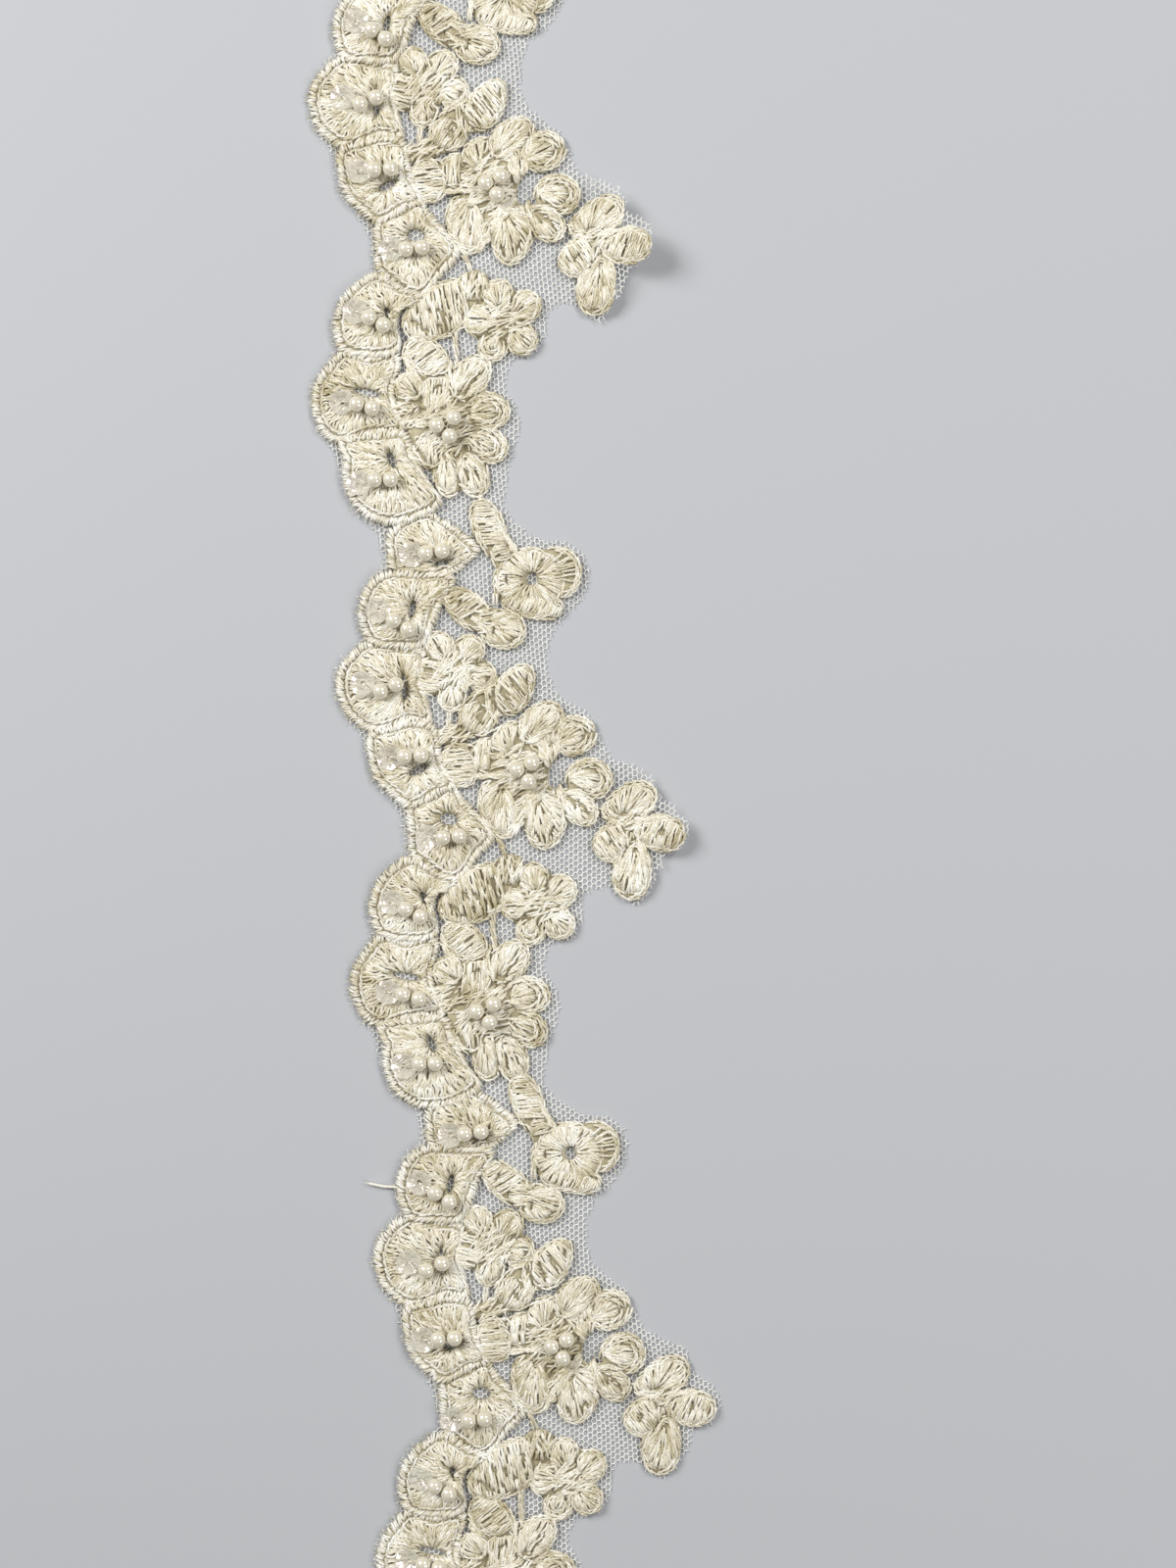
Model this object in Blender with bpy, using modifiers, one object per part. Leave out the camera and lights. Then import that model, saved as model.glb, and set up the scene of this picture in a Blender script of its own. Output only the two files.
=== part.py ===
"""Beaded sequin trim: a cut length of embroidered bridal net, lying flat.

A fine net ground carries a border of overlapping corded scallops along one side and
padded flowers, leaves and a leaf sprig along the other. Each scallop holds one cup
sequin and two imitation pearls on a thread, and each large flower holds three pearls.
The pattern repeats three times. One leaf sprig, and a second one less, curls up off
the surface.

Frame: +Y along the trim, +X from the scalloped border towards the sprigs, +Z up. The
origin is under the middle of the trim, on the surface that it lies on. The tables give
one repeat in millimetres, u across and v along, and place() sets them in that frame.
"""
import bmesh
import bpy
from math import atan2, cos, degrees, pi, radians, sin
from mathutils import Matrix, Vector

MM = 0.001

# ---------------------------------------------------------------- driving sizes, mm
MIDDLE_U = 15.6                      # the across place that becomes x = 0
REPEATS = {1: 92.7, 2: 1.0, 3: -89.2}    # repeat number: the along place of its middle
NET_TOP = 1.0                        # the net ground lies from 0 to here
CLEARANCE = 0.3                      # left between stacked or neighbouring pieces
PAD_THICK = 1.0                      # padded embroidery of the flowers and leaves
SCALLOP_THICK = 1.1
SCALLOP_STEP = 0.2                   # every other scallop overlaps its neighbours
PEARL_R = 1.25
THREAD_R = 0.35
SEQUIN_R = 2.0
SEQUIN_FOOT_R = 0.9
SEQUIN_HIGH = 1.1
KNOT_R = 1.3                         # sewn knot in the middle of three pearls
KNOT_HIGH = 0.8
STALK_SET_IN = 0.15                  # a stalk's faces lie this far inside its motif's
SPRIG_V = -7.0                       # the along place of a repeat's free sprig
PEARL_ANGLES = (50, 90, 130)         # degrees down from a pearl's pole, for its profile

# How far the whole strip wanders across, by the place along it.
WANDER = ((-138, -1.6), (-117, -1.0), (-72, 0.7), (-29, 0.3), (18, 0.1),
          (62, -0.5), (110, 1.2), (137, 1.6))
# How high the free sprig stands, by the distance across, and each repeat's share.
CURL = ((15.0, 0.0), (18.5, 0.6), (22.5, 2.3), (28.5, 5.6))
CURL_SHARE = {1: 1.0, 2: 0.36, 3: 0.0}

# ------------------------------------------------------------ one repeat, charted, mm
# Scalloped border: name, closed outline from the upper notch down, and the small open
# eye as (u, v, length, width, heading in degrees).
SCALLOPS = (
    ("a", ((-0.9, 41.8), (-1.2, 38.5), (-0.9, 35.9), (2, 34.9), (6, 34.3), (9.3, 34.8),
           (11.6, 36.6), (13.4, 38.3), (11.8, 40.6), (8.8, 43), (5.2, 45), (1.6, 43.9)),
     (7.2, 36.2, 1.8, 0.9, 0)),
    ("b", ((-0.6, 35.9), (-3.6, 34.9), (-5.6, 32.4), (-6.4, 29.2), (-5.9, 26), (-4.6, 24.2),
           (-1.5, 23.6), (2.5, 23.2), (4.4, 24.8), (5.6, 27.2), (7.2, 31), (9.3, 34.4),
           (5, 35.4)),
     (2.1, 29.6, 2.8, 0.9, 75)),
    ("c", ((-5.6, 25), (-8.6, 22.9), (-10.2, 20.8), (-10.7, 18), (-10, 14.8), (-8.4, 12.6),
           (-6.4, 11), (-3.5, 10.9), (0.5, 11.8), (3.9, 11.6), (3.5, 15), (3.1, 19),
           (3.6, 23.2), (0, 24.2)),
     (-0.1, 17.4, 4.4, 0.8, 90)),
    ("d", ((-6.1, 10.6), (-6.3, 6.5), (-5.3, 2.9), (-2.6, -0.1), (-0.8, -1.6), (1.5, -1.2),
           (4.4, 0.3), (7, 1.3), (6, 4.3), (5, 7.8), (4.2, 11.4), (0.5, 12.4), (-3, 11.6)),
     (1.3, 4.4, 3.0, 1.1, 25)),
    ("e", ((-0.8, -1.2), (-0.9, -5), (-0.7, -9), (2, -11.6), (5, -13.6), (7.3, -13),
           (9.6, -10.2), (12.6, -6.9), (10.2, -2.8), (8, -0.2), (6.4, 2.2), (3, 0.6)),
     (5.6, -3.4, 2.6, 1.8, -10)),
    ("f", ((-0.5, -9.2), (-2.9, -9.8), (-5.9, -12.2), (-7.6, -15.8), (-7.5, -19),
           (-6.4, -21.2), (-3, -22.4), (1, -22.6), (2.8, -21.2), (2.3, -18), (3.4, -15),
           (6.6, -13.2), (3.5, -11.4)),
     (1.1, -15.8, 2.0, 0.9, -60)),
    ("g", ((-6.5, -21), (-9, -23.3), (-10.9, -26), (-11.4, -29.5), (-10.6, -32.8),
           (-9.2, -34.7), (-7.4, -35.5), (-4, -35), (0, -34.6), (3.1, -34.2), (2, -30.5),
           (2, -26.2), (2.7, -22), (-2, -22)),
     (-2.6, -27.6, 3.8, 1.0, -15)),
    ("h", ((-7.3, -35.2), (-7, -38), (-7.2, -41.2), (-6.5, -44.4), (-4.8, -46.8),
           (-2, -48.5), (1.5, -48.8), (5, -47.9), (8, -45.8), (6.2, -42.4), (4.5, -38.4),
           (3, -34.2), (-1.5, -34.2)),
     (0.6, -38.6, 2.3, 1.0, -70)),
)

# Bead row of each scallop: name, sequin, first pearl, second pearl.
BEAD_ROWS = {
    "a": ((2.6, 38.0), (4.9, 38.1), (7.5, 38.3)),
    "b": ((-3.2, 29.6), (-0.8, 27.9), (1.3, 26.4)),
    "c": ((-6.4, 18.4), (-3.7, 17.0), (-1.2, 17.9)),
    "d": ((-3.0, 6.6), (-0.6, 6.6), (2.0, 6.6)),
    "e": ((2.2, -6.1), (4.6, -6.4), (7.1, -6.3)),
    "f": ((-4.1, -16.0), (-1.9, -17.2), (0.3, -18.5)),
    "g": ((-5.6, -30.0), (-3.2, -30.5), (-0.8, -31.3)),
    "h": ((-3.9, -41.7), (-1.4, -41.4), (1.1, -41.5)),
}
# Where a row was sewn on a little off its place: (repeat, scallop): across, along, mm.
BEAD_SLIPS = {
    (1, "b"): (0.6, 0.5), (1, "c"): (1.2, 0.0), (1, "e"): (-0.5, 0.4), (1, "f"): (0.0, 0.8),
    (1, "g"): (-1.0, 0.8), (1, "h"): (-0.8, -0.3), (3, "a"): (0.0, -0.7), (3, "b"): (0.5, 0.6),
    (3, "c"): (1.2, -0.5), (3, "d"): (-0.3, -0.9), (3, "e"): (-1.0, -0.9), (3, "g"): (-0.8, 1.2),
}

# Padded motifs: name, the point their lobes grow from, the lobes as rows of (u, v,
# length, width, heading in degrees), and stalks as rows of (u0, v0, u1, v1, width).
MOTIFS = (
    ("rosette", (22.0, 33.0),
     ((22.0, 34.2, 12.6, 8.6, 0), (25.6, 33.8, 6.4, 6.4, 0), (21.8, 29.4, 8.0, 4.6, -5),
      (24.4, 28.0, 3.8, 2.8, 0), (15.3, 40.7, 8.2, 4.4, -72)), ()),
    ("twin_leaves", (13.4, 27.5),
     ((11.0, 30.1, 5.4, 3.4, -40), (16.5, 25.6, 6.4, 4.8, 0), (13.4, 27.5, 2.6, 2.6, 0)), ()),
    ("floret_upper", (7.9, 19.1),
     ((7.9, 19.1, 7.0, 7.0, 0), (6.4, 23.7, 3.4, 3.6, 0), (11.1, 22.9, 3.8, 3.6, 0),
      (5.6, 18.9, 3.0, 3.2, 0), (12.4, 18.9, 3.2, 3.2, 0), (7.5, 15.6, 3.6, 3.6, 0)),
     ((7.2, 15.0, 6.6, 11.2, 0.9),)),
    ("leaf_upper", (13.2, 14.0),
     ((15.4, 15.2, 10.8, 4.8, 32), (11.2, 11.9, 5.0, 5.0, 0), (16.2, 13.5, 6.6, 4.6, 35)),
     ((5.4, 9.3, 10.6, 10.3, 1.4),)),
    ("flower_upper", (18.2, 3.1),
     ((17.6, 3.6, 12.5, 9.4, 0), (20.0, 10.0, 8.0, 3.4, 62), (26.1, 8.3, 6.4, 5.4, 20),
      (29.2, 1.7, 6.6, 6.6, 0), (26.3, -3.6, 5.4, 4.2, -60), (21.1, -4.6, 8.0, 6.0, 85),
      (13.4, -3.0, 10.2, 4.0, -62), (8.7, 4.8, 6.4, 3.6, 95)), ()),
    ("sprig", (34.2, -6.2),
     ((34.9, -2.0, 8.2, 4.4, 25), (39.0, -7.7, 7.3, 5.0, -5), (31.1, -8.6, 6.5, 4.8, 45),
      (33.8, -13.7, 8.4, 5.2, 72), (34.4, -6.4, 4.2, 4.2, 0)),
     ((30.4, -4.2, 34.4, -6.2, 1.0),)),
    ("leaf_lower", (10.5, -15.0), ((10.4, -14.8, 12.6, 6.0, 40),),
     ((11.5, -16.0, 11.5, -23.2, 0.9),)),
    ("floret_lower", (19.5, -18.0),
     ((19.5, -18.0, 6.0, 6.0, 0), (18.1, -13.2, 3.8, 3.8, 0), (22.6, -15.3, 4.2, 4.2, 0),
      (22.0, -21.0, 4.0, 4.0, 0), (17.2, -21.6, 4.0, 3.6, 0), (16.0, -18.0, 3.4, 3.8, 0)), ()),
    ("flower_lower", (9.7, -34.0),
     ((8.8, -33.3, 9.5, 13.0, 0), (14.3, -27.0, 7.0, 4.4, 45), (16.2, -31.8, 7.0, 5.0, 0),
      (15.9, -37.5, 5.5, 4.4, -30), (13.2, -41.4, 6.0, 4.0, -65), (8.9, -42.0, 5.6, 3.0, -85),
      (6.3, -37.9, 7.2, 2.2, -60), (4.6, -27.7, 3.6, 3.6, 0), (7.1, -23.4, 6.4, 3.6, -35)), ()),
)
PEARL_TRIOS = {"flower_upper": ((16.8, 3.5), (19.2, 4.4), (18.5, 1.6)),
               "flower_lower": ((8.1, -33.8), (10.8, -32.8), (10.0, -35.6))}

# Net ground: its edge under the border, going down, and its cut edge past the motifs.
NET_LEFT = ((-2.1, 41.2), (-1.9, 38), (-2.2, 36.2), (-4.4, 34.6), (-6, 31.8), (-6.5, 28.5),
            (-5.8, 25.4), (-8.4, 23), (-10.2, 20.6), (-10.6, 18), (-10, 15), (-9.4, 13.2),
            (-7.6, 11), (-6.8, 8.4), (-6.2, 5.6), (-5, 2.8), (-3, -0.2), (-2.4, -1.8),
            (-1.4, -4.6), (-1, -8.6), (-3, -10), (-5.8, -12.4), (-7.4, -15.8), (-7.6, -19),
            (-7.4, -21.2), (-9.2, -23.6), (-10.8, -26.2), (-11.2, -29.5), (-10.5, -32.8),
            (-9.2, -35.2), (-8.2, -37), (-7.6, -40.4), (-6.7, -44), (-5, -46.6))
NET_RIGHT = ((17.4, 44.6), (18.8, 42.2), (21.2, 40.2), (23.6, 38.8), (27, 38.7), (29.3, 36.8),
             (30.2, 34.2), (29.4, 31.2), (27.4, 28.4), (24.2, 25.8), (22.7, 22.4),
             (22.3, 18.5), (23.4, 15.4), (26, 13), (28.6, 11.1), (30, 7.6), (31.2, 4.8),
             (34.6, 2.9), (37.6, 1.5), (38.8, -2.2), (41.2, -4.1), (43.3, -7.4),
             (41.6, -10.2), (38.9, -11.2), (37.6, -14.2), (36, -17), (34, -18.8),
             (31.6, -17.4), (30, -15.5), (27, -15.7), (25.6, -17.2), (25.4, -20.6),
             (23.6, -23.4), (20, -23.9), (18.9, -26.5), (19, -29), (20.4, -31.2), (21, -34),
             (19.8, -37.6), (18.5, -40.6), (18.2, -43))
CUT_END_HIGH = ((17.2, 45.4), (9, 45.4), (5.2, 44.9), (0.6, 42.8))
CUT_END_LOW = ((-2.6, -48.2), (-0.4, -48.9), (3, -48.4), (6.6, -46.6), (9.5, -45.8),
               (18.2, -45.8))


# ------------------------------------------------------------------------- geometry
def between(table, t):
    """Straight-line reading of a table of (place, value) rows, held level past its ends."""
    for (t0, a), (t1, b) in zip(table, table[1:]):
        if t < t1:
            return a + (b - a) * max(0.0, t - t0) / (t1 - t0)
    return table[-1][1]


def place(u, v, repeat):
    """A charted place (mm) of one repeat, as x and y in the trim's frame (mm)."""
    y = v + REPEATS[repeat]
    return u - MIDDLE_U + between(WANDER, y), y


def smooth_ring(points, per_span=2):
    """A closed Catmull-Rom curve through the points, with per_span steps to each."""
    ring = []
    for i in range(len(points)):
        a, b, c, d = (Vector(points[(i + k) % len(points)]) for k in (-1, 0, 1, 2))
        for s in range(per_span):
            t = s / per_span
            ring.append(0.5 * (2 * b + (c - a) * t + (2 * a - 5 * b + 4 * c - d) * t ** 2
                               + (3 * b - a - 3 * c + d) * t ** 3))
    return thinned(ring)


def thinned(ring, tolerance=0.2):
    """The ring without the points that lie within tolerance (mm) of their neighbours' line."""
    ring = [Vector(p) for p in ring]
    while len(ring) > 4:
        stray = []
        for before, here, after in zip(ring[-1:] + ring, ring, ring[1:] + ring[:1]):
            chord = after - before
            stray.append(abs(chord.cross(here - before)) / max(chord.length, 1e-6))
        least = min(stray)
        if least > tolerance:
            break
        ring.pop(stray.index(least))
    return [tuple(p) for p in ring]


def oval_ring(u, v, length, width, heading, count=8):
    """The outline of an oval: its long axis points along heading, in degrees."""
    h = radians(heading)
    ring = []
    for i in range(count):
        t = 2 * pi * i / count
        along, across = 0.5 * length * cos(t), 0.5 * width * sin(t)
        ring.append((u + along * cos(h) - across * sin(h), v + along * sin(h) + across * cos(h)))
    return ring


def reach(centre, angle, lobe):
    """How far a ray from the centre runs before it leaves an oval lobe, or 0."""
    u, v, length, width, heading = lobe
    h = radians(heading)
    du, dv = centre[0] - u, centre[1] - v
    px, py = (du * cos(h) + dv * sin(h)) * 2 / length, (dv * cos(h) - du * sin(h)) * 2 / width
    dx, dy = cos(angle - h) * 2 / length, sin(angle - h) * 2 / width
    a, b, c = dx * dx + dy * dy, px * dx + py * dy, px * px + py * py - 1
    inside = b * b - a * c
    return max(0.0, (-b + inside ** 0.5) / a) if inside >= 0 else 0.0


def lobed_ring(centre, lobes, count=90):
    """The outline of a motif: in each direction from its centre, its longest lobe."""
    ring = []
    for i in range(count):
        angle = 2 * pi * i / count
        r = max(reach(centre, angle, lobe) for lobe in lobes)
        ring.append((centre[0] + r * cos(angle), centre[1] + r * sin(angle)))
    return thinned(ring)


# ------------------------------------------------------------------ objects and tools
def clear_scene():
    for obj in list(bpy.data.objects):
        bpy.data.objects.remove(obj, do_unlink=True)


def collection(name):
    made = bpy.data.collections.new(name)
    bpy.context.scene.collection.children.link(made)
    return made


def finish_material(name, colour, roughness):
    """A Principled material of one colour."""
    mat = bpy.data.materials.new(name)
    mat.use_nodes = True
    shader = mat.node_tree.nodes["Principled BSDF"]
    shader.inputs["Base Color"].default_value = (*colour, 1)
    shader.inputs["Roughness"].default_value = roughness
    shader.inputs["Metallic"].default_value = 0.0
    return mat


def prism(name, ring, low, high):
    """A filled flat outline with straight sides from low to high, as one closed mesh."""
    curve = bpy.data.curves.new(name, "CURVE")
    curve.dimensions = "2D"
    curve.fill_mode = "BOTH"
    curve.extrude = (high - low) / 2 * MM
    spline = curve.splines.new("POLY")
    spline.points.add(len(ring) - 1)
    for point, (x, y) in zip(spline.points, ring):
        point.co = (x * MM, y * MM, 0, 1)
    spline.use_cyclic_u = True
    drawn = bpy.data.objects.new(name, curve)
    bpy.context.scene.collection.objects.link(drawn)
    mesh = bpy.data.meshes.new_from_object(drawn.evaluated_get(
        bpy.context.evaluated_depsgraph_get()))
    bpy.data.objects.remove(drawn, do_unlink=True)
    mesh.transform(Matrix.Translation((0, 0, (low + high) / 2 * MM)))
    bm = bmesh.new()
    bm.from_mesh(mesh)
    bmesh.ops.remove_doubles(bm, verts=bm.verts, dist=1e-6)
    bmesh.ops.recalc_face_normals(bm, faces=bm.faces)
    bm.to_mesh(mesh)
    bm.free()
    return mesh


def joined_mesh(name, meshes):
    """One mesh that holds copies of several."""
    bm = bmesh.new()
    for mesh in meshes:
        bm.from_mesh(mesh)
    out = bpy.data.meshes.new(name)
    bm.to_mesh(out)
    bm.free()
    return out


def add_object(name, mesh, where, mat=None):
    obj = bpy.data.objects.new(name, mesh)
    where.objects.link(obj)
    if mat:
        mesh.materials.clear()
        mesh.materials.append(mat)
    return obj


def boolean(target, tool, operation):
    """Join a tool to a target or cut it away; the tool stays as a hidden guide."""
    modifier = target.modifiers.new(operation.title(), "BOOLEAN")
    modifier.operation = operation
    modifier.object = tool
    tool.hide_render = True
    tool.display_type = "WIRE"


def curl_up(mesh, share):
    """Fold a flat mesh at the curl's stations and lift it to them; share scales it."""
    bm = bmesh.new()
    bm.from_mesh(mesh)
    for station, _ in CURL[:-1]:
        bmesh.ops.bisect_plane(bm, geom=bm.verts[:] + bm.edges[:] + bm.faces[:], dist=1e-7,
                               plane_co=(station * MM, 0, 0), plane_no=(1, 0, 0))
    for vert in bm.verts:
        vert.co.z += share(vert.co.y / MM) * between(CURL, vert.co.x / MM) * MM
    bm.to_mesh(mesh)
    bm.free()


def nearest_share(y):
    """The curl's share at a place along the trim: that of the nearest sprig."""
    return CURL_SHARE[min(REPEATS, key=lambda r: abs(REPEATS[r] + SPRIG_V - y))]


# ------------------------------------------------------------------------- the pieces
def make_net(parts, mat):
    """The net ground: one thin sheet with the trim's whole outline."""
    down = [place(u, v, r) for r in REPEATS for u, v in NET_LEFT]
    up = [place(u, v, r) for r in reversed(REPEATS) for u, v in reversed(NET_RIGHT)]
    low_end = [place(u, v, 3) for u, v in CUT_END_LOW]
    high_end = [place(u, v, 1) for u, v in CUT_END_HIGH]
    mesh = prism("net_ground", down + low_end + up + high_end, 0, NET_TOP)
    curl_up(mesh, nearest_share)
    add_object("net_ground", mesh, parts, mat)


def scallop_top(number):
    """Height of a scallop's face: every other one lies a step higher."""
    return NET_TOP + CLEARANCE + SCALLOP_THICK + SCALLOP_STEP * (number % 2)


def make_border(parts, guides, mat):
    """The scalloped border: overlapping scallops joined in one band, with open eyes."""
    tiers = {0: [], 1: []}
    eyes = []
    for repeat in REPEATS:
        for number, (name, outline, eye) in enumerate(SCALLOPS):
            ring = [place(u, v, repeat) for u, v in smooth_ring(outline)]
            top = scallop_top(number)
            tiers[number % 2].append(prism(name, ring, top - SCALLOP_THICK, top))
            ring = [place(u, v, repeat) for u, v in oval_ring(*eye)]
            eyes.append(prism(name, ring, NET_TOP, top + 1))
    band = add_object("scallop_border", joined_mesh("border", tiers[0]), parts, mat)
    boolean(band, add_object("raised_scallops", joined_mesh("raised", tiers[1]), guides), "UNION")
    boolean(band, add_object("eye_cutters", joined_mesh("eyes", eyes), guides), "DIFFERENCE")


def make_motif(row, repeat, parts, guides, mat):
    """One padded flower, leaf or sprig, with its stalk."""
    name, centre, lobes, stalks = row
    low = NET_TOP + CLEARANCE
    ring = [place(u, v, repeat) for u, v in lobed_ring(centre, lobes)]
    mesh = prism(name, ring, low, low + PAD_THICK)
    curl_up(mesh, lambda y: CURL_SHARE[repeat])
    motif = add_object(f"{name}_{repeat}", mesh, parts, mat)
    for u0, v0, u1, v1, width in stalks:
        slope = degrees(atan2(v1 - v0, u1 - u0))
        side = radians(slope + 90)
        half = Vector((cos(side), sin(side))) * width / 2
        bar = [(u0 + half.x, v0 + half.y), (u0 - half.x, v0 - half.y),
               (u1 - half.x, v1 - half.y), (u1 + half.x, v1 + half.y)]
        ring = [place(u, v, repeat) for u, v in bar]
        stalk = prism("stalk", ring, low + STALK_SET_IN, low + PAD_THICK - STALK_SET_IN)
        curl_up(stalk, lambda y: CURL_SHARE[repeat])
        boolean(motif, add_object(f"{name}_stalk_{repeat}", stalk, guides), "UNION")


def pearl_row(name, gap, tail):
    """Two pearls on one thread: a profile turned about their thread, along local Z.

    The first pearl's middle is at 0, the second's at -gap, and the thread runs tail past
    the first one's middle, to the sequin.
    """
    shape = [(0.0, tail), (THREAD_R, tail), (THREAD_R, PEARL_R * 0.96)]
    for middle in (0.0, -gap):
        shape += [(PEARL_R * sin(radians(a)), PEARL_R * cos(radians(a)) + middle)
                  for a in PEARL_ANGLES]
        shape += [(THREAD_R, -gap / 2)] if middle == 0 else []
    shape += [(0.0, -gap - PEARL_R)]
    mesh = bpy.data.meshes.new(name)
    points = [(r * MM, 0, z * MM) for r, z in shape]
    mesh.from_pydata(points, [(i, i + 1) for i in range(len(points) - 1)], [])
    return mesh


def turn(obj, steps):
    """Turn a profile all the way round its own Z axis."""
    screw = obj.modifiers.new("Turn", "SCREW")
    screw.axis = "Z"
    screw.steps = steps
    screw.render_steps = steps
    screw.use_merge_vertices = True
    screw.merge_threshold = 1e-5
    screw.use_smooth_shade = False


def make_bead_row(name, row, top, parts, guides, pearl, sequin):
    """A sequin and two pearls, sewn on in a row and joined by their thread."""
    start, first, second = (Vector(p) for p in row)
    gap, tail = (second - first).length, (start - first).length
    high = top + CLEARANCE + PEARL_R
    beads = add_object(name, pearl_row(name, gap, tail), parts, pearl)
    turn(beads, 6)
    along = (first - second).normalized()
    beads.location = (first.x * MM, first.y * MM, high * MM)
    beads.rotation_euler = (radians(90), 0, atan2(along.y, along.x) + radians(90))
    bm = bmesh.new()
    bmesh.ops.create_cone(bm, cap_ends=True, segments=8, radius1=SEQUIN_FOOT_R * MM,
                          radius2=SEQUIN_R * MM, depth=SEQUIN_HIGH * MM)
    cup = bpy.data.meshes.new(name + "_sequin")
    bm.to_mesh(cup)
    bm.free()
    cup.materials.append(sequin)
    disc = add_object(name + "_sequin", cup, guides)
    away = first + along * tail
    disc.location = (away.x * MM, away.y * MM, (top + CLEARANCE + SEQUIN_HIGH / 2) * MM)
    boolean(beads, disc, "UNION")


def make_trio(name, places, parts, mat):
    """Three pearls round one sewn knot, in the middle of a flower."""
    top = NET_TOP + CLEARANCE + PAD_THICK + CLEARANCE
    bm = bmesh.new()
    middle = sum((Vector(p) for p in places), Vector((0, 0))) / 3
    bmesh.ops.create_cone(bm, cap_ends=True, segments=7, radius1=KNOT_R * MM,
                          radius2=KNOT_R * MM, depth=KNOT_HIGH * MM,
                          matrix=Matrix.Translation((middle.x * MM, middle.y * MM,
                                                     (top + KNOT_HIGH / 2) * MM)))
    mesh = bpy.data.meshes.new(name)
    bm.to_mesh(mesh)
    bm.free()
    trio = add_object(name, mesh, parts, mat)
    guides = bpy.data.collections["guides"]
    for i, (x, y) in enumerate(places):
        bm = bmesh.new()
        bmesh.ops.create_uvsphere(bm, u_segments=6, v_segments=4, radius=PEARL_R * MM)
        ball = bpy.data.meshes.new(f"{name}_{i}")
        bm.to_mesh(ball)
        bm.free()
        pearl = add_object(f"{name}_{i}", ball, guides)
        pearl.location = (x * MM, y * MM, (top + PEARL_R) * MM)
        pearl.rotation_euler.z = 0.3 * i
        boolean(trio, pearl, "UNION")


def build():
    clear_scene()
    parts, guides = collection("beaded_sequin_trim"), collection("guides")
    net = finish_material("tulle", (0.84, 0.82, 0.76), 0.6)
    thread = finish_material("embroidery thread", (0.83, 0.77, 0.62), 0.5)
    pearl = finish_material("imitation pearl", (0.78, 0.70, 0.52), 0.25)
    sequin = finish_material("clear sequin", (0.82, 0.76, 0.60), 0.15)
    make_net(parts, net)
    make_border(parts, guides, thread)
    for repeat in REPEATS:
        for row in MOTIFS:
            make_motif(row, repeat, parts, guides, thread)
        for number, (name, _, _) in enumerate(SCALLOPS):
            slip = Vector(BEAD_SLIPS.get((repeat, name), (0, 0)))
            row = [place(*(Vector(p) + slip), repeat) for p in BEAD_ROWS[name]]
            make_bead_row(f"bead_row_{repeat}{name}", row, scallop_top(number), parts, guides,
                          pearl, sequin)
        for name, places in PEARL_TRIOS.items():
            make_trio(f"pearl_trio_{name}_{repeat}", [place(u, v, repeat) for u, v in places],
                      parts, pearl)


build()
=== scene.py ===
# %% [markdown]
# # A beaded lace trim, stitched in numpy
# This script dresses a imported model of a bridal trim: a fine hexagonal net, cut out along
# its pattern, with a border of corded fans, padded flowers and leaves, pearls and small
# cup sequins. Almost all of it is thread. A reader who is learning Blender will see how
# some twenty thousand stitches can be laid as whole arrays, with no loop over points.
#
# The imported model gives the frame. +Y runs along the trim, +X from the scalloped border
# to the leaf sprigs, and +Z up. The pattern is charted in millimetres, u across and v
# along one repeat, and the repeat is laid three times.

import bpy
import numpy as np
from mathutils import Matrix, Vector


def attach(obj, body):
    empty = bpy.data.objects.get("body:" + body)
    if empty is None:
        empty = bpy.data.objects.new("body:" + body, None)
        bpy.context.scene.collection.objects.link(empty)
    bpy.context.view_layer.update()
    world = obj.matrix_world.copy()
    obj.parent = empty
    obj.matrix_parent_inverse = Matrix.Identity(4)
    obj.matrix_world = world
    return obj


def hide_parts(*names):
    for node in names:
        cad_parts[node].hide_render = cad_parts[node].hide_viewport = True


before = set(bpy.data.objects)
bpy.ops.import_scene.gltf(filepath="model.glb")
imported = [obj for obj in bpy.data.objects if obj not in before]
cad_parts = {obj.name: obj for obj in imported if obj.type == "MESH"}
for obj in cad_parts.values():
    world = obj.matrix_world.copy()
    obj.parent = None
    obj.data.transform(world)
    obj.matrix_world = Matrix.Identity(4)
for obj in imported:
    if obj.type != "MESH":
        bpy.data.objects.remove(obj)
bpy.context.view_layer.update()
dice = np.random.default_rng(22)
MM = 0.001
TAU = 2 * np.pi

# %% [markdown]
# ## Sizes
# The thread is a rayon about 0.4 mm thick. The net's holes are 0.93 mm long and their
# columns 0.69 mm apart. The pearls are 2.5 mm and the sequins 4 mm, both stock sizes.
# Every later size comes from these few.

# %% Named sizes, in millimetres
THREAD = 0.38
PITCH_ALONG = 0.93
PITCH_ACROSS = 0.69
STRAND = 0.15
NET_Z = 0.45
PEARL_R = 1.25
SEQUIN_R = 2.0
MIDDLE_U = 15.6

# Where each repeat's chart lies along y, how far the strip wanders across at each y, and
# how high the sprig of each repeat curls.
REPEATS = {1: 92.7, 2: 1.0, 3: -89.2}
WANDER = np.array([(-138, -1.6), (-117, -1.0), (-72, 0.7), (-29, 0.3), (18, 0.1),
                   (62, -0.5), (110, 1.2), (137, 1.6)])
SPRIG_V = -7.0
CURL_START = 15.0
CURL_RUN = 13.5
CURL_POWER = 1.7
CURL_HIGH = {1: 5.6, 2: 2.0, 3: 0.0}
print("thread", THREAD, "mm, net", PITCH_ALONG, "by", PITCH_ACROSS, "mm")

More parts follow.
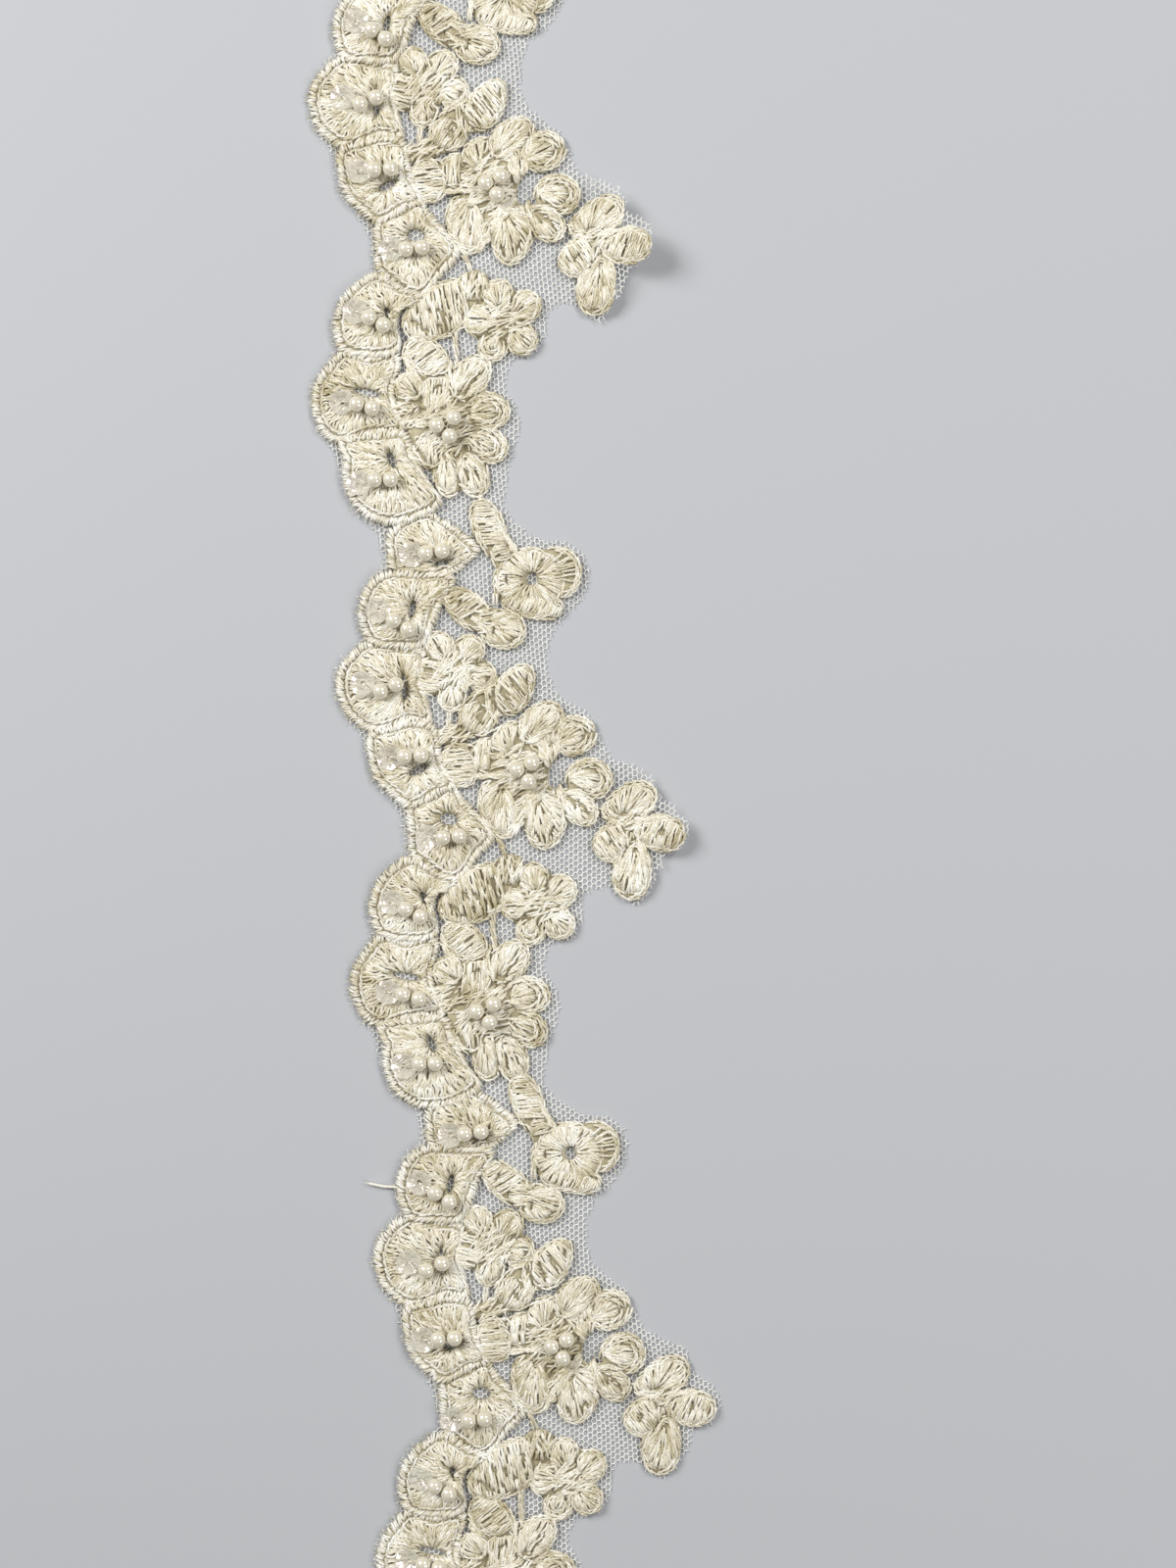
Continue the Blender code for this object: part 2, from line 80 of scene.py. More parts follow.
# %% [markdown]
# ## The chart
# A lace designer draws one repeat and the machine stitches it again and again. The border
# is eight fans: each row has a name, the fan's outline from its upper notch down, and its
# eye, the small open oval that the stitches spread from. The motifs are lobes: each is an
# oval with a length, a width, a heading, a taper that makes its far end wider, and the
# kind of stitch that fills it.

# %% The fans of the border
FANS = {
    "a": (((-0.9, 41.8), (-1.2, 38.5), (-0.9, 35.9), (2, 34.9), (6, 34.3), (9.3, 34.8),
           (11.6, 36.6), (13.4, 38.3), (11.8, 40.6), (8.8, 43), (5.2, 45), (1.6, 43.9)),
          (7.2, 36.4, 1.8, 0.9, 0)),
    "b": (((-0.6, 35.9), (-3.6, 34.9), (-5.6, 32.4), (-6.4, 29.2), (-5.9, 26), (-4.6, 24.2),
           (-1.5, 23.6), (2.5, 23.2), (4.4, 24.8), (5.6, 27.2), (7.2, 31), (9.3, 34.4),
           (5, 35.4)),
          (2.1, 29.6, 2.8, 0.9, 75)),
    "c": (((-5.6, 25), (-8.6, 22.9), (-10.2, 20.8), (-10.7, 18), (-10, 14.8), (-8.4, 12.6),
           (-6.4, 11), (-3.5, 10.9), (0.5, 11.8), (3.9, 11.6), (3.5, 15), (3.1, 19),
           (3.6, 23.2), (0, 24.2)),
          (-0.1, 17.4, 4.4, 0.7, 90)),
    "d": (((-6.1, 10.6), (-6.3, 6.5), (-5.3, 2.9), (-2.6, -0.1), (-0.8, -1.6), (1.5, -1.2),
           (4.4, 0.3), (7, 1.3), (6, 4.3), (5, 7.8), (4.2, 11.4), (0.5, 12.4), (-3, 11.6)),
          (1.3, 4.4, 3.0, 1.1, 25)),
    "e": (((-0.8, -1.2), (-0.9, -5), (-0.7, -9), (2, -11.6), (5, -13.6), (7.3, -13),
           (9.6, -10.2), (12.6, -6.9), (10.2, -2.8), (8, -0.2), (6.4, 2.2), (3, 0.6)),
          (5.6, -3.6, 2.6, 1.7, -10)),
    "f": (((-0.5, -9.2), (-2.9, -9.8), (-5.9, -12.2), (-7.6, -15.8), (-7.5, -19),
           (-6.4, -21.2), (-3, -22.4), (1, -22.6), (2.8, -21.2), (2.3, -18), (3.4, -15),
           (6.6, -13.2), (3.5, -11.4)),
          (1.1, -15.8, 2.2, 0.9, -60)),
    "g": (((-6.5, -21), (-9, -23.3), (-10.9, -26), (-11.4, -29.5), (-10.6, -32.8),
           (-9.2, -34.7), (-7.4, -35.5), (-4, -35), (0, -34.6), (3.1, -34.2), (2, -30.5),
           (2, -26.2), (2.7, -22), (-2, -22)),
          (-2.6, -27.8, 4.4, 0.9, -15)),
    "h": (((-7.3, -35.2), (-7, -38), (-7.2, -41.2), (-6.5, -44.4), (-4.8, -46.8),
           (-2, -48.5), (1.5, -48.8), (5, -47.9), (8, -45.8), (6.2, -42.4), (4.5, -38.4),
           (3, -34.2), (-1.5, -34.2)),
          (0.6, -38.6, 2.6, 1.0, -70)),
}
print(len(FANS), "fans to a repeat")

# %% The lobes of the motifs: u, v, length, width, heading, taper, stitch
MOTIFS = {
    "rosette": ((21.0, 33.3), (
        (15.2, 41.0, 11.2, 5.0, -73, -0.2, "satin"), (16.8, 37.0, 5.0, 3.8, -60, 0, "satin"),
        (25.3, 33.9, 7.4, 8.4, 0, 0, "fan"), (20.9, 33.0, 11.8, 10.4, 6, 0, "rays"),
        (20.8, 28.9, 10.4, 3.8, -13, 0.1, "satin"))),
    "twin_leaves": ((13.4, 27.4), (
        (10.7, 29.2, 9.6, 5.4, -42, 0.1, "satin"), (16.0, 25.6, 7.6, 6.3, -12, 0, "fan"),
        (13.2, 27.2, 5.0, 4.4, -40, 0, "mat"))),
    "floret_upper": ((7.9, 19.3), (
        (4.4, 19.0, 6.4, 5.4, 90, 0, "satin"), (5.9, 23.3, 5.4, 4.9, 110, 0, "fan"),
        (10.5, 22.5, 5.4, 5.0, 60, 0, "fan"), (12.0, 18.5, 5.2, 4.8, 0, 0, "fan"),
        (7.3, 15.6, 5.0, 4.6, -90, 0, "fan"), (8.0, 19.4, 7.8, 6.8, 20, 0, "mat"))),
    "leaf_upper": ((14.0, 14.0), (
        (13.2, 14.3, 8.6, 5.4, 22, 0, "satin"), (17.2, 16.2, 9.2, 5.8, 54, -0.22, "satin"),
        (11.0, 11.9, 6.0, 5.8, -15, 0, "satin"), (6.7, 9.4, 8.4, 2.8, 4, 0, "mat"))),
    "flower_upper": ((17.0, 3.6), (
        (12.8, 6.2, 8.0, 5.6, 15, 0, "satin"), (15.9, 8.2, 7.8, 5.4, 30, 0, "fan"),
        (20.7, 10.5, 8.8, 5.7, 38, 0, "fan"), (25.8, 8.3, 7.6, 6.4, 8, 0, "nest"),
        (27.9, 1.3, 7.4, 6.8, 0, 0, "nest"), (26.0, -2.8, 7.4, 5.4, -48, 0, "fan"),
        (13.6, -2.4, 10.0, 6.2, -80, -0.15, "fan"), (20.5, -4.6, 9.6, 7.1, -94, -0.15, "fan"),
        (7.8, 4.7, 7.2, 6.0, 110, 0, "satin"), (16.8, 3.5, 9.0, 9.0, 0, 0, "mat"))),
    "sprig": ((34.0, -6.0), (
        (33.9, -2.6, 9.6, 5.3, 22, 0.3, "fan"), (38.2, -7.8, 8.6, 5.5, -6, 0.25, "satin"),
        (31.1, -8.5, 7.1, 5.6, 50, -0.2, "satin"), (33.9, -13.2, 10.0, 5.7, -102, 0.3, "fan"),
        (33.9, -5.8, 4.0, 3.2, 0, 0, "mat"))),
    "leaf_lower": ((10.5, -15.0), (
        (9.4, -15.6, 13.8, 8.4, 28, 0, "satin"), (14.6, -12.1, 5.4, 5.0, 60, 0, "mat"))),
    "floret_lower": ((19.0, -18.0), (
        (18.3, -13.8, 5.3, 5.0, 90, 0, "fan"), (22.3, -15.9, 5.6, 5.3, 30, 0, "fan"),
        (21.8, -21.0, 5.2, 5.0, -40, 0, "fan"), (17.3, -21.7, 5.2, 4.8, -100, 0, "nest"),
        (15.5, -17.7, 5.5, 5.2, 180, 0, "fan"), (19.0, -18.0, 6.4, 6.0, 0, 0, "mat"))),
    "flower_lower": ((9.4, -33.6), (
        (8.2, -28.6, 9.4, 6.0, 10, 0, "satin"), (3.4, -31.4, 5.0, 4.8, 0, 0, "mat"),
        (13.5, -26.6, 8.4, 5.7, 48, 0, "fan"), (15.8, -31.9, 7.9, 6.3, -4, 0, "nest"),
        (15.3, -37.0, 7.8, 6.0, -27, 0, "nest"), (9.0, -41.3, 7.8, 4.4, -86, 0, "fan"),
        (12.9, -41.5, 8.0, 5.3, -74, 0, "fan"), (6.1, -36.8, 8.6, 5.2, -62, 0, "fan"),
        (4.1, -27.4, 5.0, 4.9, 0, 0, "fan"), (6.8, -22.9, 8.4, 5.6, -38, 0, "satin"),
        (9.2, -33.8, 9.8, 9.4, 0, 0, "mat"))),
}

# %% Slits where two rows of stitches part: u, v, length, heading
SLITS = {
    "rosette": ((17.2, 33.3, 1.6, 88), (22.9, 35.6, 1.8, 60)),
    "twin_leaves": ((17.5, 23.8, 2.0, 35), (14.6, 25.4, 1.5, 78), (9.6, 30.2, 1.6, 60)),
    "leaf_upper": ((12.0, 13.6, 2.4, -62), (13.8, 14.3, 3.0, -62), (15.6, 15.2, 3.2, -62),
                   (17.4, 16.3, 3.0, -62), (11.4, 11.4, 2.0, -50), (19.2, 17.6, 1.4, 80)),
    "floret_upper": ((4.1, 22.3, 1.9, 85), (8.7, 23.4, 1.4, 90), (9.7, 15.7, 1.2, -20),
                     (13.0, 17.8, 1.4, 90), (8.4, 14.3, 1.6, 30)),
    "flower_upper": ((17.5, -5.4, 4.2, 88), (19.3, -6.9, 2.6, 110), (21.6, -6.4, 2.2, 66),
                     (25.0, -2.0, 3.2, -60), (26.9, -3.0, 3.6, -55), (22.6, 7.2, 1.8, 35),
                     (24.9, 0.1, 1.8, 25), (5.2, 5.4, 3.4, -65), (28.4, 3.0, 2.4, 10)),
    "sprig": ((38.6, -7.4, 1.6, 80), (30.6, -8.8, 1.6, 55), (33.0, -9.8, 2.2, 75)),
    "leaf_lower": ((9.2, -15.9, 1.6, -62), (10.6, -16.9, 1.3, -62), (12.6, -16.9, 1.7, 84),
                   (7.6, -15.6, 1.3, -60), (11.9, -13.6, 1.3, -62), (8.7, -18.0, 1.3, -60),
                   (5.4, -17.4, 2.0, -35), (6.9, -18.8, 1.8, -15), (10.0, -19.2, 2.0, 12)),
    "floret_lower": ((16.0, -15.0, 1.7, -70), (20.4, -14.3, 1.7, 65), (19.4, -19.4, 1.5, 0)),
    "flower_lower": ((14.6, -26.6, 2.2, 50), (13.0, -28.7, 2.8, 60), (13.4, -31.5, 1.8, 80),
                     (3.9, -35.2, 3.2, -62), (5.6, -38.4, 3.6, -62), (12.2, -42.0, 3.2, 95),
                     (13.8, -41.6, 2.6, 106), (10.7, -42.6, 2.2, 90), (8.3, -27.6, 1.6, 20),
                     (4.4, -31.1, 1.6, 70), (13.8, -36.4, 2.4, -45)),
}
SLIT_WIDE = 0.66

# A place in a motif where the net shows through: u, v, length, width, heading. Each stalk
# is a line of chart points.
NET_HOLES = {"rosette": (21.2, 33.2, 1.9, 1.5, 80), "flower_upper": (22.7, 2.4, 4.6, 1.9, 78)}
STALKS = {"rosette": ((15.5, 32.4), (15.2, 30.6), (14.6, 28.6)),
          "floret_upper": ((7.2, 14.4), (6.6, 12.2), (6.4, 10.0)),
          "leaf_lower": ((11.6, -18.6), (11.4, -21.0), (11.6, -25.4)),
          "sprig": ((29.2, -3.2), (31.6, -4.6), (34.8, -6.0)),
          "flower_upper": ((12.6, -6.0), (13.8, -8.6), (14.0, -11.0))}
print(sum(len(lobes) for _, lobes in MOTIFS.values()), "lobes to a repeat")

# %% Where the beads are sewn, and how far a row slips in its repeat
BEAD_ROWS = {
    "a": ((2.6, 38.0), (4.9, 38.1), (7.5, 38.3)),
    "b": ((-3.2, 29.6), (-0.8, 27.9), (1.3, 26.4)),
    "c": ((-6.4, 18.4), (-3.7, 17.0), (-1.2, 17.9)),
    "d": ((-3.0, 6.6), (-0.6, 6.6), (2.0, 6.6)),
    "e": ((2.2, -6.1), (4.6, -6.4), (7.1, -6.3)),
    "f": ((-4.1, -16.0), (-1.9, -17.2), (0.3, -18.5)),
    "g": ((-5.6, -30.0), (-3.2, -30.5), (-0.8, -31.3)),
    "h": ((-3.9, -41.7), (-1.4, -41.4), (1.1, -41.5)),
}
BEAD_SLIPS = {
    (1, "b"): (0.6, 0.5), (1, "c"): (1.2, 0.0), (1, "e"): (-0.5, 0.4), (1, "f"): (0.0, 0.8),
    (1, "g"): (-1.0, 0.8), (1, "h"): (-0.8, -0.3), (3, "a"): (0.0, -0.7), (3, "b"): (0.5, 0.6),
    (3, "c"): (1.2, -0.5), (3, "d"): (-0.3, -0.9), (3, "e"): (-1.0, -0.9), (3, "g"): (-0.8, 1.2),
}
PEARL_TRIOS = {"flower_upper": ((16.8, 3.5), (19.2, 4.4), (18.5, 1.6)),
               "flower_lower": ((8.1, -33.8), (10.8, -32.8), (10.0, -35.6))}

# %% The cut edge of the net
NET_LEFT = ((-2.1, 41.2), (-1.9, 38), (-2.2, 36.2), (-4.4, 34.6), (-6, 31.8), (-6.5, 28.5),
            (-5.8, 25.4), (-8.4, 23), (-10.2, 20.6), (-10.6, 18), (-10, 15), (-9.4, 13.2),
            (-7.6, 11), (-6.8, 8.4), (-6.2, 5.6), (-5, 2.8), (-3, -0.2), (-2.4, -1.8),
            (-1.4, -4.6), (-1, -8.6), (-3, -10), (-5.8, -12.4), (-7.4, -15.8), (-7.6, -19),
            (-7.4, -21.2), (-9.2, -23.6), (-10.8, -26.2), (-11.2, -29.5), (-10.5, -32.8),
            (-9.2, -35.2), (-8.2, -37), (-7.6, -40.4), (-6.7, -44), (-5, -46.6))
NET_RIGHT = ((17.4, 44.6), (18.8, 42.2), (21.2, 40.2), (23.6, 38.8), (27, 38.7), (29.3, 36.8),
             (30.2, 34.2), (29.4, 31.2), (27.4, 28.4), (24.2, 25.8), (22.7, 22.4),
             (22.3, 18.5), (23.4, 15.4), (26, 13), (28.6, 11.1), (30, 7.6), (31.2, 4.8),
             (34.6, 2.9), (37.6, 1.5), (38.8, -2.2), (41.2, -4.1), (43.3, -7.4),
             (41.6, -10.2), (38.9, -11.2), (37.6, -14.2), (36, -17), (34, -18.8),
             (31.6, -17.4), (30, -15.5), (27, -15.7), (25.6, -17.2), (25.4, -20.6),
             (23.6, -23.4), (20, -23.9), (18.9, -26.5), (19, -29), (20.4, -31.2), (21, -34),
             (19.8, -37.6), (18.5, -40.6), (18.2, -43))
CUT_END_HIGH = ((17.2, 45.4), (9, 45.4), (5.2, 44.9), (0.6, 42.8))
CUT_END_LOW = ((-2.6, -48.2), (-0.4, -48.9), (3, -48.4), (6.6, -46.6), (9.5, -45.8),
               (18.2, -45.8))
print("net edge points to a repeat:", len(NET_LEFT) + len(NET_RIGHT))

# %% [markdown]
# ## From the chart to the trim
# The real strip is never quite straight, and its free sprigs lift off the table. One
# function places any chart point in the frame, so that net, stitches and beads all
# wander and lift together.

# %% Place chart points in the frame
def lift(xy):
    """Height added at (x, y), in mm: the nearest sprig's CURL_HIGH times a power of its reach.

    The reach is (x - CURL_START) / CURL_RUN, and nothing is lifted before CURL_START.
    """
    sprig_y = np.array(list(REPEATS.values())) + SPRIG_V
    high = np.array(list(CURL_HIGH.values()))
    near = np.abs(xy[..., 1, None] - sprig_y).argmin(-1)
    past = np.clip((xy[..., 0] - CURL_START) / CURL_RUN, 0, None)
    return high[near] * past ** CURL_POWER


def place(uv, repeat, z=0.0):
    """Chart points (..., 2) of a repeat, at height z, as frame points (..., 3) in mm."""
    uv = np.asarray(uv, float)
    y = uv[..., 1] + REPEATS[repeat]
    x = uv[..., 0] - MIDDLE_U + np.interp(y, WANDER[:, 0], WANDER[:, 1])
    xy = np.stack([x, y], -1)
    return np.concatenate([xy, (z + lift(xy))[..., None]], -1)


def smooth_ring(points, per_span=12):
    """A closed Catmull-Rom curve: each span blends four neighbouring points by cubics in t."""
    p = np.asarray(points, float)
    a, b, c, d = (np.roll(p, -k, 0)[:, None] for k in (-1, 0, 1, 2))
    t = (np.arange(per_span) / per_span)[None, :, None]
    ring = 0.5 * (2 * b + (c - a) * t + (2 * a - 5 * b + 4 * c - d) * t ** 2
                  + (3 * b - a - 3 * c + d) * t ** 3)
    return ring.reshape(-1, 2)


def even_steps(path, step, closed=False):
    """Points along a path at equal steps of about the given length, by arc length."""
    p = np.vstack([path, path[:1]]) if closed else np.asarray(path, float)
    run = np.r_[0, np.cumsum(np.linalg.norm(np.diff(p, axis=0), axis=1))]
    count = max(int(round(run[-1] / step)), 2)
    at = np.linspace(0, run[-1], count + 1)
    at = at[:-1] if closed else at
    return np.stack([np.interp(at, run, p[:, k]) for k in range(p.shape[1])], -1)


def lobe_shape(lobe):
    """A lobe's u, v, length, width, heading in radians, and taper, which is 0 if not given."""
    u, v, length, width, heading = lobe[:5]
    return u, v, length, width, np.radians(heading), lobe[5] if len(lobe) > 5 else 0.0


def turned(mm, lobe):
    """Points in mm along and across a lobe, as chart points. Its taper widens one end."""
    u, v, length, _, h, taper = lobe_shape(lobe)
    along, across = mm[..., 0], mm[..., 1] * (1 + taper * 2 * mm[..., 0] / length)
    return np.stack([u + along * np.cos(h) - across * np.sin(h),
                     v + along * np.sin(h) + across * np.cos(h)], -1)


def own_axes(uv, lobe, grow=0.0):
    """Chart points in a lobe's own axes, where its edge, grown by some mm, is the unit circle."""
    u, v, length, width, h, taper = lobe_shape(lobe)
    du, dv = uv[..., 0] - u, uv[..., 1] - v
    x = (du * np.cos(h) + dv * np.sin(h)) / (0.5 * length + grow)
    y = (dv * np.cos(h) - du * np.sin(h)) / (0.5 * width + grow)
    return np.stack([x, y / (1 + taper * np.clip(x, -1, 1))], -1)


def oval(lobe, reach, count=96):
    """A lobe's outline, scaled by reach: length and width along a turned circle."""
    t = TAU * np.arange(count) / count
    return turned(np.stack([0.5 * lobe[2] * reach * np.cos(t),
                            0.5 * lobe[3] * reach * np.sin(t)], -1), lobe)


def inside_oval(uv, lobe, grow=0.0):
    """True where a point lies in the lobe, grown by a few tenths of a millimetre."""
    return (own_axes(uv, lobe, grow) ** 2).sum(-1) < 1


def inside_any(uv, lobes, grow=0.0):
    """True where a point lies in one of these lobes, each grown by a few tenths of a mm."""
    inside = np.zeros(uv.shape[:-1], bool)
    for lobe in lobes:
        inside |= inside_oval(uv, lobe, grow)
    return inside


def inside_ring(uv, ring):
    """True where a point lies inside a closed ring: it crosses the ring an odd number of times."""
    x, y = uv[..., 0, None], uv[..., 1, None]
    x0, y0 = ring[:, 0], ring[:, 1]
    x1, y1 = np.roll(ring, -1, 0).T
    crosses = ((y0 > y) != (y1 > y)) & (x < x0 + (y - y0) * (x1 - x0) / (y1 - y0 + 1e-12))
    return crosses.sum(-1) % 2 == 1


print("middle of the first rosette:", place(MOTIFS["rosette"][0], 1).round(1), "mm")

# %% [markdown]
# ## Threads as tubes
# A stitch could be a curve object with a bevel, but thousands of curves are slow. Here a
# batch of stitches is one array of paths, and one function gives all of them a round
# skin at once. Each keeps a UV map, along and round the thread, for its ply, and a tone
# that makes it a shade lighter or darker than its neighbour.

# %% Bundles of tubes
def unit(a):
    """The directions of an array of vectors."""
    return a / np.maximum(np.linalg.norm(a, axis=-1, keepdims=True), 1e-9)


def left_of(ahead):
    """Flat directions turned a quarter to their left."""
    return np.stack([-ahead[:, 1], ahead[:, 0]], -1)


def grid_faces(rows, sides, hole=False):
    """Quads between rings of points, and a fan of triangles round a pole after them at each end.

    With a hole there are no poles, and the last ring is joined to the first.
    """
    i, j = np.meshgrid(np.arange(rows if hole else rows - 1), np.arange(sides), indexing="ij")
    k, below = (j + 1) % sides, (i + 1) % rows
    quads = np.stack([i * sides + j, below * sides + j, below * sides + k, i * sides + k], -1)
    if hole:
        return quads.reshape(-1, 4), np.zeros((0, 3), int)
    j, k = j[0], k[0]
    first = np.stack([np.full(sides, rows * sides), j, k], -1)
    last = np.stack([np.full(sides, rows * sides + 1), (rows - 1) * sides + k,
                     (rows - 1) * sides + j], -1)
    return quads.reshape(-1, 4), np.concatenate([first, last])


def tubes(paths, radius, sides=4, tip=0.6):
    """Tubes round n paths of m points: point + r (cos a * side + sin a * up), pointed ends.

    radius is one number or one for each path. A tip is some radii long.
    """
    paths = np.asarray(paths, float)
    n, m = paths.shape[:2]
    ahead = unit(np.gradient(paths, axis=1))
    side = unit(np.cross(ahead, (0, 0, 1.0)) + 1e-9)
    up = np.cross(side, ahead)
    run = np.concatenate([np.zeros((n, 1)), np.cumsum(
        np.linalg.norm(np.diff(paths, axis=1), axis=-1), 1)], 1)
    a = TAU * np.arange(sides) / sides
    r = np.broadcast_to(np.asarray(radius, float).reshape(-1, 1, 1), (n, m, sides))
    surface = (paths[:, :, None] + r[..., None] * (np.cos(a)[:, None] * side[:, :, None]
                                                   + np.sin(a)[:, None] * up[:, :, None]))
    reach = tip * r.mean(-1)[..., None] * ahead
    tips = np.stack([paths[:, 0] - reach[:, 0], paths[:, -1] + reach[:, -1]], 1)
    verts = np.concatenate([surface.reshape(n, -1, 3), tips], 1)
    quads, tris = grid_faces(m, sides)
    step = (np.arange(n) * verts.shape[1])[:, None, None]
    start = dice.uniform(0, 40, (n, 1, 1))
    along = np.broadcast_to(run[..., None] + start, (n, m, sides)).reshape(n, -1)
    along = np.concatenate([along, run[:, :1] + start[:, 0], run[:, -1:] + start[:, 0]], 1)
    tone = np.repeat(dice.uniform(0, 1, n), verts.shape[1])
    return dict(verts=verts.reshape(-1, 3), quads=(quads[None] + step).reshape(-1, 4),
                tris=(tris[None] + step).reshape(-1, 3), along=along.reshape(-1), tone=tone,
                around=np.tile(np.r_[np.tile(np.arange(sides) / sides, m), 0, 0], n))


def gathered(bundles):
    """Several bundles as one, with the face numbers of each moved past those before."""
    start = np.cumsum([0] + [len(b["verts"]) for b in bundles[:-1]])
    out = {k: np.concatenate([b[k] for b in bundles]) for k in ("verts", "along", "around",
                                                                "tone")}
    for k in ("quads", "tris"):
        out[k] = np.concatenate([b[k] + s for b, s in zip(bundles, start)])
    return out


def add_object(name, data):
    """A new object in the scene, with its mesh, light or camera."""
    obj = bpy.data.objects.new(name, data)
    bpy.context.scene.collection.objects.link(obj)
    return obj


def make_piece(name, bundle, material, replaces=(), smooth=True):
    """A mesh object from a bundle in mm, on the root body, with UV map and tone."""
    quads, tris = bundle["quads"], bundle["tris"]
    mesh = bpy.data.meshes.new(name)
    mesh.vertices.add(len(bundle["verts"]))
    mesh.vertices.foreach_set("co", (bundle["verts"] * MM).ravel())
    corners = np.concatenate([quads.ravel(), tris.ravel()]).astype(np.int32)
    mesh.loops.add(len(corners))
    mesh.loops.foreach_set("vertex_index", corners)
    starts = np.concatenate([np.arange(len(quads)) * 4, 4 * len(quads) + np.arange(len(tris)) * 3])
    mesh.polygons.add(len(starts))
    mesh.polygons.foreach_set("loop_start", starts.astype(np.int32))
    mesh.update(calc_edges=True)
    uv = mesh.uv_layers.new(name="thread")
    around = np.concatenate([wrapped(bundle["around"][quads]).ravel(),
                             wrapped(bundle["around"][tris]).ravel()])
    uv.uv.foreach_set("vector", np.stack([bundle["along"][corners], around], -1).ravel())
    mesh.attributes.new("tone", "FLOAT", "POINT").data.foreach_set("value", bundle["tone"])
    mesh.polygons.foreach_set("use_smooth", np.full(len(starts), smooth))
    mesh.materials.append(material)
    obj = add_object(name, mesh)
    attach(obj, "root")
    if replaces:
        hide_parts(*replaces)
    print(name, len(quads) * 2 + len(tris), "triangles")
    return obj


def wrapped(turns):
    """Turns round a thread on each face's corners, with 0 read as 1 where a face closes it."""
    closes = (turns.max(-1, keepdims=True) > 0.75) & (turns < 0.25)
    return np.where(closes, turns + 1, turns)


print("turns 0.8, 0.9, 0 on a face become", wrapped(np.array((0.8, 0.9, 0.0))))

# %% [markdown]
# ## Closed skins on a grid
# Padding, beads and sequins are rings of points stacked from one pole to the other, and
# the faces of a tube fit them too, turned over. Each end is closed at a pole, or the last
# ring is joined to the first when the shape has a hole.

# %% Skin a stack of rings
def skin(rings, tone=0.5, hole=False, turned_out=True):
    """A closed skin over (k, s, 3) rings: neighbours joined by quads, and poles or a hole."""
    k, s = rings.shape[:2]
    quads, tris = grid_faces(k, s, hole)
    quads, tris = quads[:, (0, 3, 2, 1)], tris[:, (0, 2, 1)]
    verts = rings.reshape(-1, 3)
    if not hole:
        verts = np.concatenate([verts, rings[0].mean(0)[None], rings[-1].mean(0)[None]])
    if not turned_out:
        quads, tris = quads[:, ::-1], tris[:, ::-1]
    around = np.r_[np.tile(np.arange(s) / s, k), np.zeros(len(verts) - k * s)]
    along = np.r_[np.repeat(np.arange(k) * 0.5, s), np.zeros(len(verts) - k * s)]
    return dict(verts=verts, quads=quads, tris=tris, along=along, around=around,
                tone=np.full(len(verts), float(tone)))


print("three rings of four points make", len(skin(np.zeros((3, 4, 3)))["quads"]), "quads")

# %% [markdown]
# ## Laying stitches
# Satin stitch is thread laid in lines close together. Long lines are worked in shorter
# stitches that dive into the net at both ends, which gives padded embroidery its grain.
# So each fill first draws its lines as arrays, and stitch_lines() then breaks them,
# rounds them up between their ends and nudges them as a real needle does.

# %% Break lines into stitches
OVERLAP = 0.3
RISE = 0.1
DIVE = 0.12
SHORTEST = 0.35


def at_parts(values, rows, part):
    """Values (n, m, ...) of lines read at parts 0 to 1 of their length, between two samples."""
    f = part * (values.shape[1] - 1)
    i = np.minimum(f.astype(int), values.shape[1] - 2)
    w = (f - i).reshape(f.shape + (1,) * (values.ndim - 2))
    return values[rows, i] * (1 - w) + values[rows, i + 1] * w


def in_slits(uv, slits):
    """True where a chart point lies in one of a motif's slits."""
    return inside_any(uv, [(u, v, long, SLIT_WIDE, heading) for u, v, long, heading in slits])


